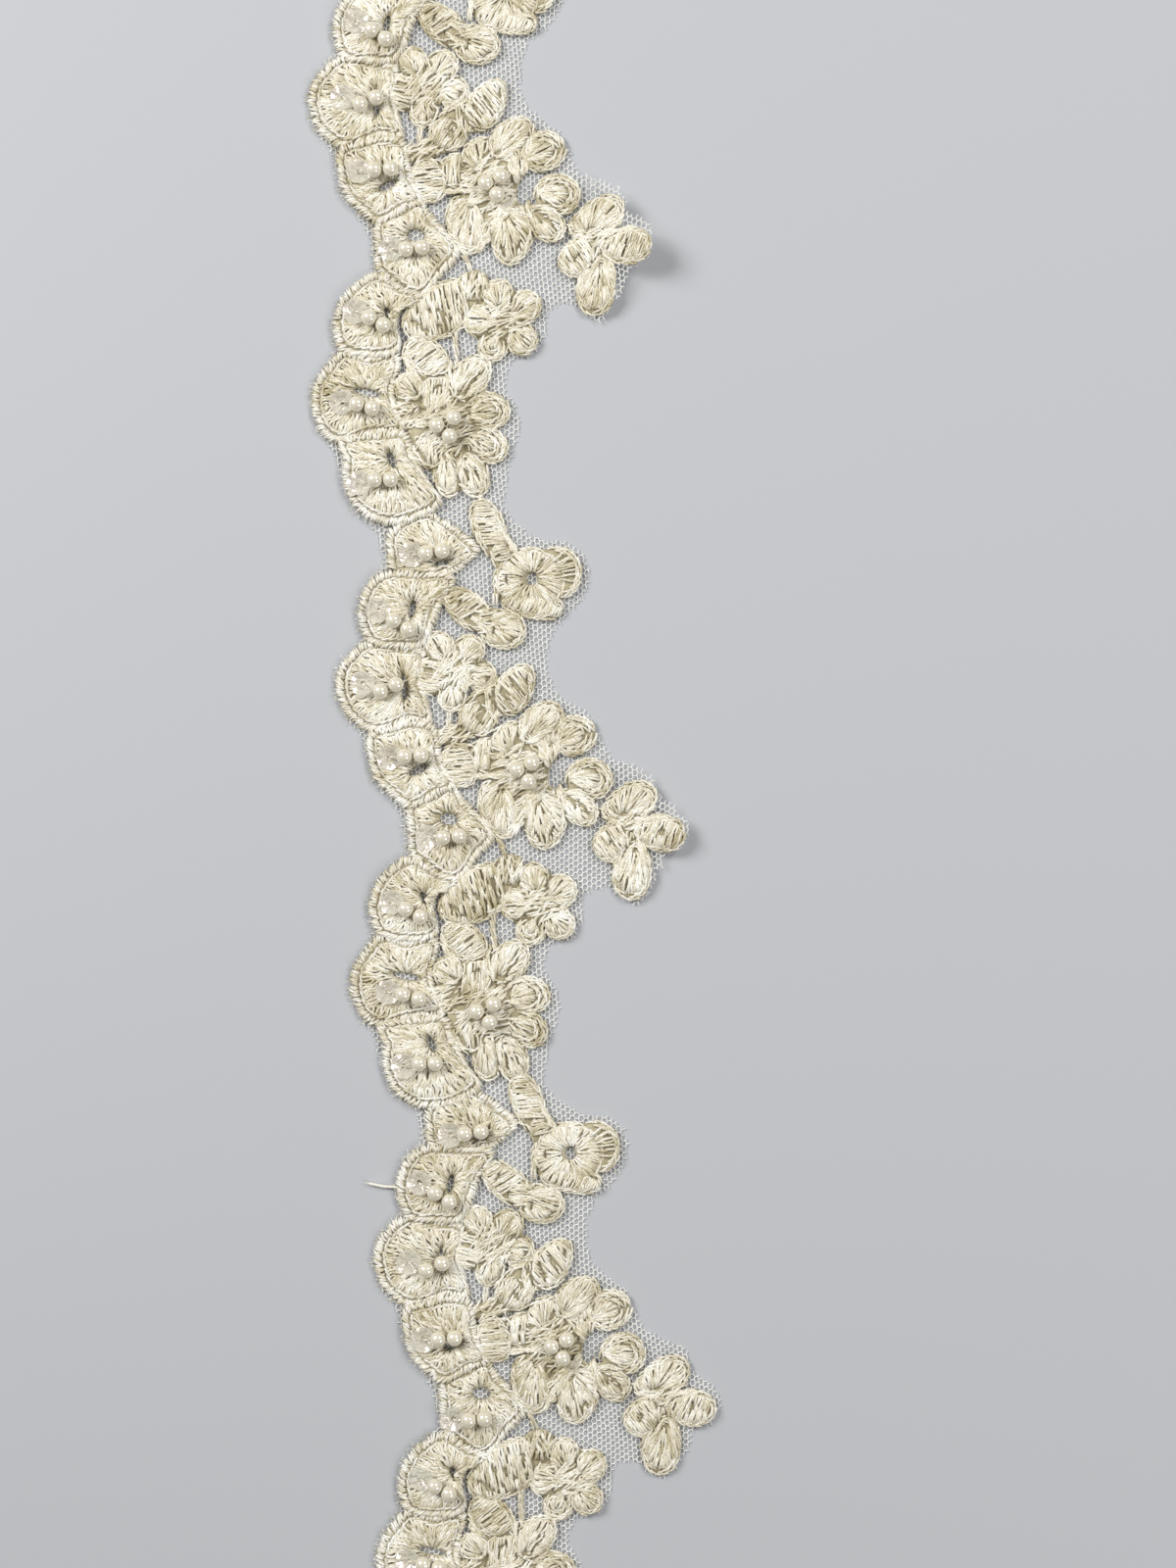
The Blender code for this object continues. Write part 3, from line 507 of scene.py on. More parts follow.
def stitch_lines(lines, heights, repeat, length, stray, thick=THREAD, slits=()):
    """Threads along (n, m, 2) chart lines over heights (n, m), in stitches of about length.

    Each is a piece of its line, with 4 points: h - DIVE at its ends and h + RISE between.
    A small random amount moves, turns and bends it sideways. One that would cross a slit
    keeps only its longer side.
    """
    run = np.linalg.norm(np.diff(lines, axis=1), axis=-1).sum(1)
    counts = np.clip(np.round(run / length * dice.uniform(0.8, 1.25, len(run))), 1, 8).astype(int)
    t = np.linspace(0, 1, 4)
    fine = np.linspace(0, 1, 16)
    out = []
    for count in np.unique(counts):
        pick = np.flatnonzero((counts == count) & (run > 0.5))
        if len(pick) == 0:
            continue
        cut = np.arange(count + 1) + np.pad(dice.uniform(-0.28, 0.28, (len(pick), count - 1)),
                                            ((0, 0), (1, 1)))[:, :count + 1]
        cut = cut / count
        slack = OVERLAP / np.maximum(run[pick, None], 1.0)
        low = np.clip(cut[:, :-1] - slack, 0, 1).ravel()
        high = np.clip(cut[:, 1:] + slack, 0, 1).ravel()
        rows = np.repeat(pick, count)[:, None]
        probe = at_parts(lines, rows, low[:, None] + (high - low)[:, None] * fine)
        parted = in_slits(probe, slits)
        crossed = parted.any(1)
        before = fine[parted.argmax(1)]
        after = fine[len(fine) - 1 - parted[:, ::-1].argmax(1)]
        ahead_side = crossed & (before < 1 - after)
        behind_side = crossed & ~ahead_side
        low, high = (np.where(ahead_side, low + (high - low) * after, low),
                     np.where(behind_side, low + (high - low) * before, high))
        keep = (high - low) * run[rows[:, 0]] > SHORTEST
        low, high, rows = low[keep], high[keep], rows[keep]
        part = low[:, None] + (high - low)[:, None] * t
        uv, h = at_parts(lines, rows, part), at_parts(heights, rows, part)
        sideways = left_of(unit(uv[:, -1] - uv[:, 0]))[:, None]
        swing = dice.normal(0, stray, (len(uv), 1, 1)) + dice.normal(
            0, stray * 0.8, (len(uv), 1, 1)) * (t[None, :, None] - 0.5) * 2
        bow = dice.normal(0, stray * 1.3, (len(uv), 1, 1)) * (1 - (2 * t - 1) ** 2)[:, None]
        uv = uv + sideways * (swing + bow)
        h = h + np.array((-DIVE, RISE, RISE, -DIVE)) + dice.normal(0, 0.04, (len(uv), 1))
        out.append(place(uv, repeat, h))
    paths = np.concatenate(out)
    return tubes(paths, 0.5 * thick * dice.uniform(0.9, 1.16, len(paths)))


print("a quarter of the way from 0 to 10:",
      at_parts(np.array(((0.0, 10.0),)), np.zeros((1, 1), int), np.array(((0.25,),))))

# %% [markdown]
# ## Materials
# The stitches are rayon, a smooth thread with a soft gleam along its length. Three ridges
# wind round it every 0.75 mm, as a bump that follows the thread's own UV map. The padding
# under them is the same rayon in darker colours: painted shade for the gaps between
# stitches and the slits where it shows. The net is a dull nylon. The beads are plastic:
# pearl-coated ones and clear cups with a thin rainbow coating.

# %% Colours and nodes
def linear(code):
    """An sRGB hex code as a linear RGBA colour: ((c + 0.055) / 1.055) ** 2.4 above 0.04."""
    c = np.array([int(code[k:k + 2], 16) for k in (1, 3, 5)]) / 255
    return (*np.where(c <= 0.04045, c / 12.92, ((c + 0.055) / 1.055) ** 2.4).tolist(), 1.0)


def add_node(tree, kind, links=(), **settings):
    """Add a node: settings are its properties, links its sockets' values or sources."""
    node = tree.nodes.new(kind)
    for key, value in settings.items():
        setattr(node, key, value)
    for socket, value in dict(links).items():
        if isinstance(value, bpy.types.NodeSocket):
            tree.links.new(value, node.inputs[socket])
        else:
            node.inputs[socket].default_value = value
    return node


def new_material(name, **shader):
    """A material with a Principled shader, its sockets set by name."""
    mat = bpy.data.materials.new(name)
    mat.use_nodes = True
    bsdf = mat.node_tree.nodes["Principled BSDF"]
    for key, value in shader.items():
        bsdf.inputs[key.replace("_", " ")].default_value = value
    return mat, mat.node_tree, bsdf


def ramp(tree, source, stops):
    """A colour ramp from source: stops are (place, hex code)."""
    node = add_node(tree, "ShaderNodeValToRGB", {"Fac": source})
    while len(node.color_ramp.elements) < len(stops):
        node.color_ramp.elements.new(0.5)
    for element, (at, code) in zip(node.color_ramp.elements, stops):
        element.position = at
        element.color = linear(code)
    return node.outputs["Color"]


print("ivory in linear light:", linear("#ece5d0"))


# %% Rayon embroidery thread
PLIES = 3.0
TWIST = 0.75


def rayon_thread(name, dark, mid, light):
    """Rayon: satin gleam, a tone for each thread, and ply ridges from the UV map."""
    mat, tree, bsdf = new_material(name, Roughness=0.32, IOR=1.53, Sheen_Weight=0.08,
                                   Sheen_Roughness=0.4)
    tone = add_node(tree, "ShaderNodeAttribute", attribute_name="tone")
    place_on = add_node(tree, "ShaderNodeTexCoord")
    patches = add_node(tree, "ShaderNodeTexNoise", {"Vector": place_on.outputs["Object"],
                                                    "Scale": 140.0, "Detail": 2.0})
    mix = add_node(tree, "ShaderNodeMath", {0: tone.outputs["Fac"], 1: 0.55,
                                            2: patches.outputs["Fac"]}, operation="MULTIPLY_ADD")
    shade = add_node(tree, "ShaderNodeMath", {0: mix.outputs[0], 1: 0.28},
                     operation="SUBTRACT")
    tree.links.new(ramp(tree, shade.outputs[0], ((0.1, dark), (0.5, mid), (0.9, light))),
                   bsdf.inputs["Base Color"])
    uv = add_node(tree, "ShaderNodeUVMap", uv_map="thread")
    parts = add_node(tree, "ShaderNodeSeparateXYZ", {0: uv.outputs["UV"]})
    strands = add_node(tree, "ShaderNodeMath", {0: parts.outputs["Y"], 1: PLIES},
                       operation="MULTIPLY")
    turns = add_node(tree, "ShaderNodeMath", {0: parts.outputs["X"], 1: 1 / TWIST,
                                              2: strands.outputs[0]}, operation="MULTIPLY_ADD")
    angle = add_node(tree, "ShaderNodeMath", {0: turns.outputs[0], 1: TAU},
                     operation="MULTIPLY")
    ridge = add_node(tree, "ShaderNodeMath", {0: angle.outputs[0]}, operation="SINE")
    bump = add_node(tree, "ShaderNodeBump", {"Height": ridge.outputs[0], "Strength": 0.35,
                                             "Distance": 0.00006})
    tree.links.new(bump.outputs["Normal"], bsdf.inputs["Normal"])
    return mat


stitch_rayon = rayon_thread("ivory rayon stitch", "#beb28d", "#ece5d0", "#fffdf4")
cord_rayon = rayon_thread("ivory rayon cord", "#cfc4a4", "#efeadb", "#fffdf6")
# The padding's colours are darker than the thread's own: painted shade, seen in the gaps between
# stitches and in the slits.
padding_rayon_painted_shade = rayon_thread("rayon padding darkened as painted shade", "#9d9274", "#b6ac8d", "#cac1a4")

print("threads", stitch_rayon.name, "and", cord_rayon.name)

# %% Nylon net
net_nylon, net_tree, net_shader = new_material(
    "off-white nylon net", Roughness=0.5, IOR=1.53)
net_place = add_node(net_tree, "ShaderNodeTexCoord")
net_noise = add_node(net_tree, "ShaderNodeTexNoise",
                     {"Vector": net_place.outputs["Object"], "Scale": 900.0, "Detail": 1.0})
net_tree.links.new(ramp(net_tree, net_noise.outputs["Fac"],
                        ((0.3, "#efede6"), (0.7, "#fbfaf6"))), net_shader.inputs["Base Color"])

# %% Pearl coat on plastic, and the clear rainbow plastic of the cup sequins
pearl_plastic = new_material(
    "cream pearl coat", Base_Color=linear("#e6dec8"), Roughness=0.25, IOR=1.55,
    Coat_Weight=1.0, Coat_Roughness=0.15, Coat_IOR=2.3)[0]
sequin_plastic = new_material(
    "clear rainbow sequin", Base_Color=linear("#faf6ea"), Roughness=0.12, IOR=1.57, Alpha=0.42,
    Coat_Weight=1.0, Coat_Roughness=0.08, Coat_IOR=2.0, Thin_Film_Thickness=420.0,
    Thin_Film_IOR=1.8)[0]
print("materials", [m.name for m in bpy.data.materials][-6:])

# %% [markdown]
# ## The stitched ground
# Under the embroidery the net is packed with thread and padded, so it is a closed low
# mound there. A fan's mound is a ring round its eye, as is the rosette's round its hole,
# and any other lobe's is a plain dome. Each is a stack of rings that go from the middle
# over the top, round the rim and back under, with the height as a function of how far out
# a point is.

# %% Mounds under fans and lobes
RIM = 1.25
GROOVE = 0.24
FAN_STEP = 0.37
TIER_STEP = 0.3
TIER = {name: number % 2 for number, name in enumerate(FANS)}
PAD_FOOT = NET_Z - 0.2
PAD_INSIDE = 0.95
UNDER_RING = 0.3
UNDER_LOBE = 0.24


def fan_ring(name):
    """A fan's outline at even steps, one for each line of its stitches."""
    return even_steps(smooth_ring(FANS[name][0]), FAN_STEP, closed=True)


def eye_edge(ring, eye, grow=0.0):
    """For each outline point, the point of the eye's oval in its direction from the middle."""
    u, v, length, width, heading = eye
    away = ring - (u, v)
    angle = np.arctan2(away[:, 1], away[:, 0]) - np.radians(heading)
    a, b = 0.5 * length + grow, 0.5 * width + grow
    r = 1 / np.sqrt((np.cos(angle) / a) ** 2 + (np.sin(angle) / b) ** 2)
    return np.array((u, v)) + unit(away) * r[:, None]


def fan_height(t, tier):
    """Height at t from the eye (0) to the rim (1): a base + 0.6 sin(pi (0.14 + 0.77 t))."""
    return NET_Z + 0.2 + TIER_STEP * tier + 0.6 * np.sin(np.pi * (0.14 + 0.77 * t))


def bead_row(name, repeat):
    """The chart points of a fan's sequin and two pearls, slipped as they are in a repeat."""
    return np.array(BEAD_ROWS[name]) + BEAD_SLIPS.get((repeat, name), (0, 0))


def pocket(uv, name, repeat):
    """Depth of the hollow under a row of beads: 0.5 exp(-(d / 1.5)^2), d from the row."""
    row = bead_row(name, repeat)
    first, along = row[0], row[2] - row[0]
    t = np.clip(((uv - first) @ along) / (along @ along), 0, 1)
    d = np.linalg.norm(uv - first - t[..., None] * along, axis=-1)
    return 0.5 * np.exp(-(d / 1.5) ** 2)


def web_height(t):
    """Height of a motif's ground, lower than its lobes: a base + 0.35 sin(pi (0.2 + 0.7 t))."""
    return NET_Z + 0.1 + 0.35 * np.sin(np.pi * (0.2 + 0.7 * t))


def web_ring(name):
    """A motif's outline: in each direction from its middle, the first way out of its lobes.

    It is found in steps of 0.1 mm. Lobes closer together than twice the gap count as joined.
    """
    gap = 0.3
    centre, lobes = MOTIFS[name]
    angle = TAU * np.arange(180) / 180
    reach = np.arange(0, 16, 0.1)
    away = np.stack([np.cos(angle), np.sin(angle)], -1)
    uv = np.array(centre) + away[:, None] * reach[:, None]
    within = inside_any(uv, lobes, gap)
    within |= np.cumsum(within, 1) == 0
    far = reach[np.argmin(within, 1)] - gap
    return even_steps(np.array(centre) + far[:, None] * away, THREAD, closed=True)


def web_eye(name):
    """The opening that a motif's ground is a ring round, or a pinhole at its middle."""
    return NET_HOLES.get(name, (*MOTIFS[name][0], 0.3, 0.3, 0))


def dome(uv, lobe, high, swell=0.26):
    """Height over a lobe: high + swell sqrt(1 - r^2), r the distance in its own radii."""
    r2 = (own_axes(uv, lobe) ** 2).sum(-1)
    return high + swell * np.sqrt(np.clip(1 - r2, 0, 1))


def ring_mound(ring, eye, height, repeat, fan=None):
    """Closed padding round an eye: over the top to the rim, and back under to the eye."""
    ring = ring[::4]
    inner = eye_edge(ring, eye, grow=0.1)
    rows = []
    for t in (0.0, 0.2, 0.5, 0.85, 1.0):
        uv = inner + (ring - inner) * (t * PAD_INSIDE)
        dip = pocket(uv, fan, repeat) if fan else 0.0
        rows.append(place(uv, repeat, height(t) - UNDER_RING - dip))
    for t in (1.0, 0.0):
        rows.append(place(inner + (ring - inner) * (t * PAD_INSIDE), repeat, PAD_FOOT))
    return skin(np.array(rows), hole=True, turned_out=False)


def lobe_mound(lobe, repeat, high):
    """The closed dome under one lobe: rings of its oval from the middle out and back under."""
    rows = []
    for reach in (0.1, 0.5, 0.8, 0.94):
        uv = oval(lobe, reach, 14)
        rows.append(place(uv, repeat, dome(uv, lobe, high) - UNDER_LOBE))
    for reach in (0.92, 0.1):
        rows.append(place(oval(lobe, reach, 14), repeat, PAD_FOOT))
    return skin(np.array(rows), turned_out=False)


def lobe_base(number):
    """The height a lobe's edge starts from: three steps in turn."""
    return NET_Z + 0.26 + 0.1 * (number % 3)


mounds = []
for repeat in REPEATS:
    for name, (_, eye) in FANS.items():
        mounds.append(ring_mound(fan_ring(name), eye,
                                 lambda t: fan_height(t, TIER[name]), repeat, fan=name))
    for name, (_, lobes) in MOTIFS.items():
        mounds.append(ring_mound(web_ring(name), web_eye(name), web_height, repeat))
        for k, lobe in enumerate(lobes):
            if lobe[6] == "rays":
                mounds.append(ring_mound(oval(lobe, 0.94), web_eye(name),
                                         lambda t: lobe_base(k) + UNDER_LOBE, repeat))
            else:
                mounds.append(lobe_mound(lobe, repeat, lobe_base(k)))
# The padding wears the darkened material: painted shade where it shows through the stitches.
make_piece("stitch_padding", gathered(mounds), padding_rayon_painted_shade)

# %% [markdown]
# ## The net
# Tulle is a machine net of hexagons. Every knot has three strands, so a strand's two ends
# are always a right-hand knot P and a left-hand knot Q. The strands are joined here as one
# mesh: each knot has a top and three corners between its strands, and every strand is
# three quads between its two knots. A triangle closes each knot below, and each cut end.
# Knots well under the embroidery are left out.

# %% Weave the net
SHRINK = 0.4
SLAB_TOP = 0.3
SLAB_FOOT = 0.18


def net_outline():
    """The whole cut edge of the net, in frame millimetres."""
    down = [place(NET_LEFT, r)[:, :2] for r in REPEATS]
    up = [place(NET_RIGHT[::-1], r)[:, :2] for r in reversed(REPEATS)]
    return np.vstack(down + [place(CUT_END_LOW, 3)[:, :2]] + up + [place(CUT_END_HIGH, 1)[:, :2]])


def under_stitches(xy):
    """True where a frame point lies well inside the edge of a fan or a motif, off its eye."""
    patches = []
    for outline, eye in FANS.values():
        ring = smooth_ring(outline, 4)
        patches.append((ring - unit(ring - ring.mean(0)) * SHRINK, eye, 0.5))
    for name, (centre, _) in MOTIFS.items():
        ring = web_ring(name)[::2]
        patches.append((ring - unit(ring - centre) * SHRINK, web_eye(name), 0.4))
    shift = np.interp(xy[..., 1], WANDER[:, 0], WANDER[:, 1])
    hidden = np.zeros(xy.shape[:-1], bool)
    for middle in REPEATS.values():
        uv = np.stack([xy[..., 0] + MIDDLE_U - shift, xy[..., 1] - middle], -1)
        near = np.abs(uv[..., 1]) < 54
        here = uv[near]
        for ring, eye, grow in patches:
            hidden[near] |= inside_ring(here, ring) & ~inside_oval(here, eye, grow)
    return hidden


def weave_net():
    """The hexagonal net as one closed mesh of knots and strands, inside the cut edge."""
    ring = net_outline()
    low, high = ring.min(0) - 1, ring.max(0) + 1
    cols = np.arange(int((high[0] - low[0]) / PITCH_ACROSS))
    rows = np.arange(int((high[1] - low[1]) / PITCH_ALONG))
    i, j = np.meshgrid(cols, rows, indexing="ij")
    side = PITCH_ACROSS / 1.5
    centre = np.stack([low[0] + PITCH_ACROSS * i, low[1] + PITCH_ALONG * (j + 0.5 * (i % 2))], -1)

    def warp(xy):
        x, y = xy[..., 0], xy[..., 1]
        return xy + 0.16 * np.stack([np.sin(y / 5.3 + 1) + np.sin((x + y) / 3.1),
                                     np.sin(x / 4.1) + np.cos((y - x) / 6.7)], -1)

    knots = np.stack([warp(centre + (side, 0)), warp(centre - (side, 0))])
    knots = knots + dice.normal(0, 0.022, knots.shape)
    keep = inside_ring(knots.reshape(-1, 2), ring) & ~under_stitches(knots.reshape(-1, 2))
    keep = keep.reshape(knots.shape[:3])
    ni, nj = i.shape
    up_j, down_j = j + i % 2, j + i % 2 - 1
    ends = []
    for ti, tj in ((i + 2, j), (i + 1, up_j), (i + 1, down_j)):
        good = (ti < ni) & (tj >= 0) & (tj < nj)
        target = np.where(good, ti * nj + tj, 0)
        ends.append((good, target + ni * nj))
    kept, flat = keep.ravel(), knots.reshape(-1, 2)
    degree = np.zeros(len(flat), int)
    strands = []
    for good, target in ends:
        p, q = np.flatnonzero(good.ravel()), target.ravel()[good.ravel()]
        use = kept[p] | kept[q]
        strands.append((p[use], q[use]))
    for p, q in strands:
        np.add.at(degree, p, 1)
        np.add.at(degree, q, 1)
    cut = (degree == 1) & ~kept
    other = np.zeros(len(flat), int)
    for p, q in strands:
        other[p[cut[p]]], other[q[cut[q]]] = q[cut[p]], p[cut[q]]
    stub = dice.uniform(0.45, 1.25, len(flat))[:, None]
    flat = np.where(cut[:, None], flat[other] + (flat - flat[other]) * stub, flat)
    used = np.flatnonzero(degree > 0)
    number = np.full(len(flat), -1)
    number[used] = np.arange(len(used))
    is_q = (used >= ni * nj)[:, None]
    corner = np.radians(np.where(is_q, (120, 240, 0), (60, 180, 300)))
    wide = 0.5 * STRAND * 1.3 * dice.uniform(0.9, 1.2, (len(used), 1))
    z = lift(flat[used]) + 0.5 * NET_Z + dice.normal(0, 0.02, len(used))
    verts = np.zeros((len(used), 4, 3))
    verts[..., :2] = flat[used, None]
    verts[..., 2] = z[:, None]
    verts[:, 0, 2] += 0.7 * STRAND
    verts[:, 1:, 0] += wide * np.cos(corner)
    verts[:, 1:, 1] += wide * np.sin(corner)
    # The corners to a strand's left and right, at its P end and at its Q end.
    sides = (((1, 1), (3, 2)), ((2, 2), (1, 3)), ((3, 3), (2, 1)))
    quads, caps, joined = [], [], np.zeros((len(used), 3), bool)
    for k, ((p, q), ((pl, ql), (pr, qr))) in enumerate(zip(strands, sides)):
        p, q = number[p], number[q]
        joined[p, k], joined[q, k] = True, True
        for pa, pb, qa, qb in ((0, pl, 0, ql), (pl, pr, ql, qr), (pr, 0, qr, 0)):
            quads.append(np.stack([p * 4 + pa, q * 4 + qa, q * 4 + qb, p * 4 + pb], -1))
    # A triangle closes each knot below, and one more each side where a strand is missing.
    caps.append(np.arange(len(used))[:, None] * 4 + np.array((1, 3, 2)))
    for k, ((pl, ql), (pr, qr)) in enumerate(sides):
        for kind, order in ((False, (0, pr, pl)), (True, (0, ql, qr))):
            bare = np.flatnonzero(~joined[:, k] & (is_q[:, 0] == kind))
            caps.append(bare[:, None] * 4 + np.array(order))
    verts = verts.reshape(-1, 3)
    return dict(verts=verts, quads=np.concatenate(quads), tris=np.concatenate(caps),
                along=verts[:, 1], around=np.zeros(len(verts)),
                tone=np.repeat(dice.uniform(0, 1, len(used)), 4))


def slab(ring, eye, repeat):
    """The closed net under one patch of embroidery: a flat plate a strand thick, round an eye."""
    inner = eye_edge(ring, eye, grow=0.2)
    rows = [place(inner + (ring - inner) * t, repeat, z)
            for t, z in ((0.0, SLAB_TOP), (0.9, SLAB_TOP), (0.9, SLAB_FOOT), (0.0, SLAB_FOOT))]
    return skin(np.array(rows), hole=True, turned_out=False)


ground = [weave_net()]
for repeat in REPEATS:
    ground += [slab(fan_ring(name)[::4], eye, repeat) for name, (_, eye) in FANS.items()]
    ground += [slab(web_ring(name)[::3], web_eye(name), repeat) for name in MOTIFS]
net_mesh = make_piece("tulle_net", gathered(ground), net_nylon, ["net_ground"],
                      smooth=False)

# %% [markdown]
# ## The fans
# Stitches fan out from the eye to the rope of the rim. Lines that all began at the eye
# would crowd there, so only every fourth line does, and those between start an eighth,
# a third and a half of the way out. Threads under the next fan are left out.

# %% Fill each fan
# REPEAT_JUMP is how far up its own chart a fan "a" meets the fan "h" of the repeat above.
# RAY_STARTS is how far out each four lines begin, one after another.
REPEAT_JUMP = 93.7
RAY_STARTS = (0.0, 0.5, 0.12, 0.3)
ROPE_STEP = 0.33
ROPE_ARCH = np.array((0.02, 0.42, 0.48, 0.15))
STEM_STEP = 0.25
STEM_SPAN = 7
STEM_EVERY = 5
STEM_R = 0.17


def ray_lines(ring, eye, rim):
    """Lines from an eye to a ring, and how far along each point lies; sine waves bend them.

    The wave is 0.2 sin(2 pi r / 2.3 + phase) + 0.1 sin(2 pi r / 1.1 + 2 phase) sideways.
    """
    inner = eye_edge(ring, eye, grow=0.25)
    outer = ring - unit(ring - inner) * rim
    number = np.arange(len(ring))
    start = np.array(RAY_STARTS)[number % 4]
    start = start + dice.uniform(-0.06, 0.1, len(ring)).clip(-start)
    t = start[:, None] + (1 - start[:, None]) * np.linspace(0, 1, 24)
    lines = inner[:, None] + (outer - inner)[:, None] * t[..., None]
    sideways = left_of(unit(outer - inner))
    reach = np.linalg.norm(outer - inner, axis=-1)[:, None] * t
    phase = 7 * TAU * number[:, None] / len(ring) + dice.normal(0, 0.5, (len(ring), 1))
    wave = 0.2 * np.sin(TAU * reach / 2.3 + phase) + 0.1 * np.sin(TAU * reach / 1.1 + 2 * phase)
    return lines + sideways[:, None] * (wave * np.minimum(t * 3, 1))[..., None], t


def covered_by_fans(uv, name):
    """True where chart points of a lower fan lie under one of the raised fans beside it."""
    under = np.zeros(uv.shape[:-1], bool)
    if TIER[name] == 1:
        return under
    for other, (outline, _) in FANS.items():
        if TIER[other] == 1:
            for jump in (0, REPEAT_JUMP) if name == "a" else (0,):
                under |= inside_ring(uv - (0, jump), smooth_ring(outline, 4))
    return under


def rim_rope(name, repeat, tier):
    """The rim's rope: slanted stitches across the RIM band, close together, well arched."""
    ring = even_steps(smooth_ring(FANS[name][0]), ROPE_STEP, closed=True)
    inner = eye_edge(ring, FANS[name][1])
    inward = unit(inner - ring)
    ahead = unit(np.roll(ring, -1, 0) - np.roll(ring, 1, 0))
    t = np.linspace(0, 1, 4)
    across = RIM * (dice.uniform(-0.05, 0.15, (len(ring), 1)) + 0.95 * t)
    slant = (t - 0.5)[None, :] * dice.normal(0.55, 0.3, (len(ring), 1))
    path = ring[:, None] + inward[:, None] * across[..., None]
    path = path + ahead[:, None] * slant[..., None] + dice.normal(0, 0.07, (len(ring), 1, 2))
    keep = ~covered_by_fans(path[:, 2], name)
    path = path[keep]
    high = NET_Z + TIER_STEP * tier + ROPE_ARCH
    return tubes(place(path, repeat, high + dice.normal(0, 0.05, (len(path), 1))),
                 0.5 * THREAD * dice.uniform(0.85, 1.15, len(path)))


def seam_line(name, repeat, tier):
    """Stem stitches over the outer ends of the fan stitches, a groove in from the rope."""
    ring = fan_ring(name)
    inner = eye_edge(ring, FANS[name][1])
    path = ring + unit(inner - ring) * (RIM + GROOVE + STEM_R)
    runs = visible_runs(path, ~covered_by_fans(path, name))
    return [stem_stitches(run, repeat, fan_height(0.9, tier) + 0.1, STEM_R) for run in runs]


def stem_stitches(path, repeat, high, radius, slant=0.16, slits=()):
    """Short stitches one after another along a path, each a little aslant and arched.

    The path is cut in steps of STEM_STEP. A stitch spans STEM_SPAN of them, and the next
    one starts after STEM_EVERY. Their heights are high - 0.1 + 0.14 sin(pi t).
    """
    path = even_steps(path, STEM_STEP)
    starts = np.arange(0, max(len(path) - STEM_SPAN, 1), STEM_EVERY)
    at = np.minimum(starts[:, None] + np.linspace(0, STEM_SPAN, 4).astype(int), len(path) - 1)
    uv = path[at]
    clear = in_slits(uv, slits).sum(1) < 2
    uv = uv[clear] if clear.any() else uv[:1]
    sideways = left_of(unit(uv[:, -1] - uv[:, 0]))[:, None]
    t = np.linspace(0, 1, 4)
    lean = slant * (t - 0.5)[None, :, None] * 2 + dice.normal(0, 0.05, (len(uv), 1, 1))
    z = high + 0.14 * np.sin(np.pi * t) - 0.1 + dice.normal(0, 0.04, (len(uv), 1))
    return tubes(place(uv + sideways * lean, repeat, z),
                 radius * dice.uniform(0.9, 1.15, len(uv)))


def visible_runs(path, seen):
    """The stretches of a closed path where every point is seen, as a list of open paths."""
    if seen.all():
        return [np.vstack([path, path[:2]])]
    first = np.flatnonzero(~seen)[0]
    path, seen = np.roll(path, -first, 0), np.roll(seen, -first)
    edges = np.flatnonzero(np.diff(np.r_[False, seen, False].astype(int)))
    return [path[a:b] for a, b in edges.reshape(-1, 2) if b - a > 3]


for repeat in REPEATS:
    fill, ropes = [], []
    for name, (_, eye) in FANS.items():
        lines, t = ray_lines(fan_ring(name), eye, RIM + GROOVE)
        middle = covered_by_fans(lines, name).mean(1) < 0.5
        high = fan_height(t, TIER[name]) - pocket(lines, name, repeat)
        fill.append(stitch_lines(lines[middle], high[middle], repeat, length=2.1,
                                 stray=0.07, thick=0.37))
        ropes.append(rim_rope(name, repeat, TIER[name]))
        ropes += seam_line(name, repeat, TIER[name])
    border = ["scallop_border"] if repeat == 1 else []
    make_piece(f"fan_stitches_{repeat}", gathered(fill), stitch_rayon, border)
    make_piece(f"rim_rope_{repeat}", gathered(ropes), cord_rayon)

# %% [markdown]
# ## Flowers and leaves
# Lobes are filled in five ways. Satin runs across a leaf at a slant, a fan opens from a
# petal's root, rays leave the hole of the rosette, a nest is a short fan with more rows
# round it, and a mat is laid this way and that over a heart. Rows of stem stitch round
# the motif hide the ends, and slits are left where two rows part.

# %% Lines of the five fills
LINE_POINTS = 14
SPOKE_STARTS = (0.04, 0.5, 0.16, 0.32)
SPOKE_STEP = 0.31
RAY_STEP = 0.27
SATIN_SLANT, SATIN_STEP = 72, 0.28
MAT_SLANT, MAT_STEP, MAT_TURN = 24, 0.26, 0.34
NEST_INSET = 1.9


def chords(lobe, angle, spacing, inset=0.6):
    """Parallel chords of an oval at an angle to its heading, by the quadratic for each line."""
    a, b = 0.5 * lobe[2] - inset, 0.5 * lobe[3] - inset
    d = np.array((np.cos(np.radians(angle)), np.sin(np.radians(angle))))
    n = np.array((-d[1], d[0]))
    reach = np.hypot(a * n[0], b * n[1])
    s = np.arange(-reach + 0.5 * spacing, reach, spacing)
    s = s + dice.normal(0, 0.03, len(s))
    k = np.array((1 / a ** 2, 1 / b ** 2))
    q = n * s[:, None]
    qa, qb, qc = (k * d * d).sum(), (k * q * d).sum(-1), (k * q * q).sum(-1) - 1
    root = np.sqrt(np.clip(qb ** 2 - qa * qc, 0, None))
    t = np.linspace(-1, 1, LINE_POINTS)
    along = (-qb[:, None] + root[:, None] * t) / qa
    bend = 0.14 * np.cos(np.pi * t / 2) * np.sin(s * 2.1)[:, None]
    local = q[:, None] + d * along[..., None] + n * bend[..., None]
    return turned(local, lobe)


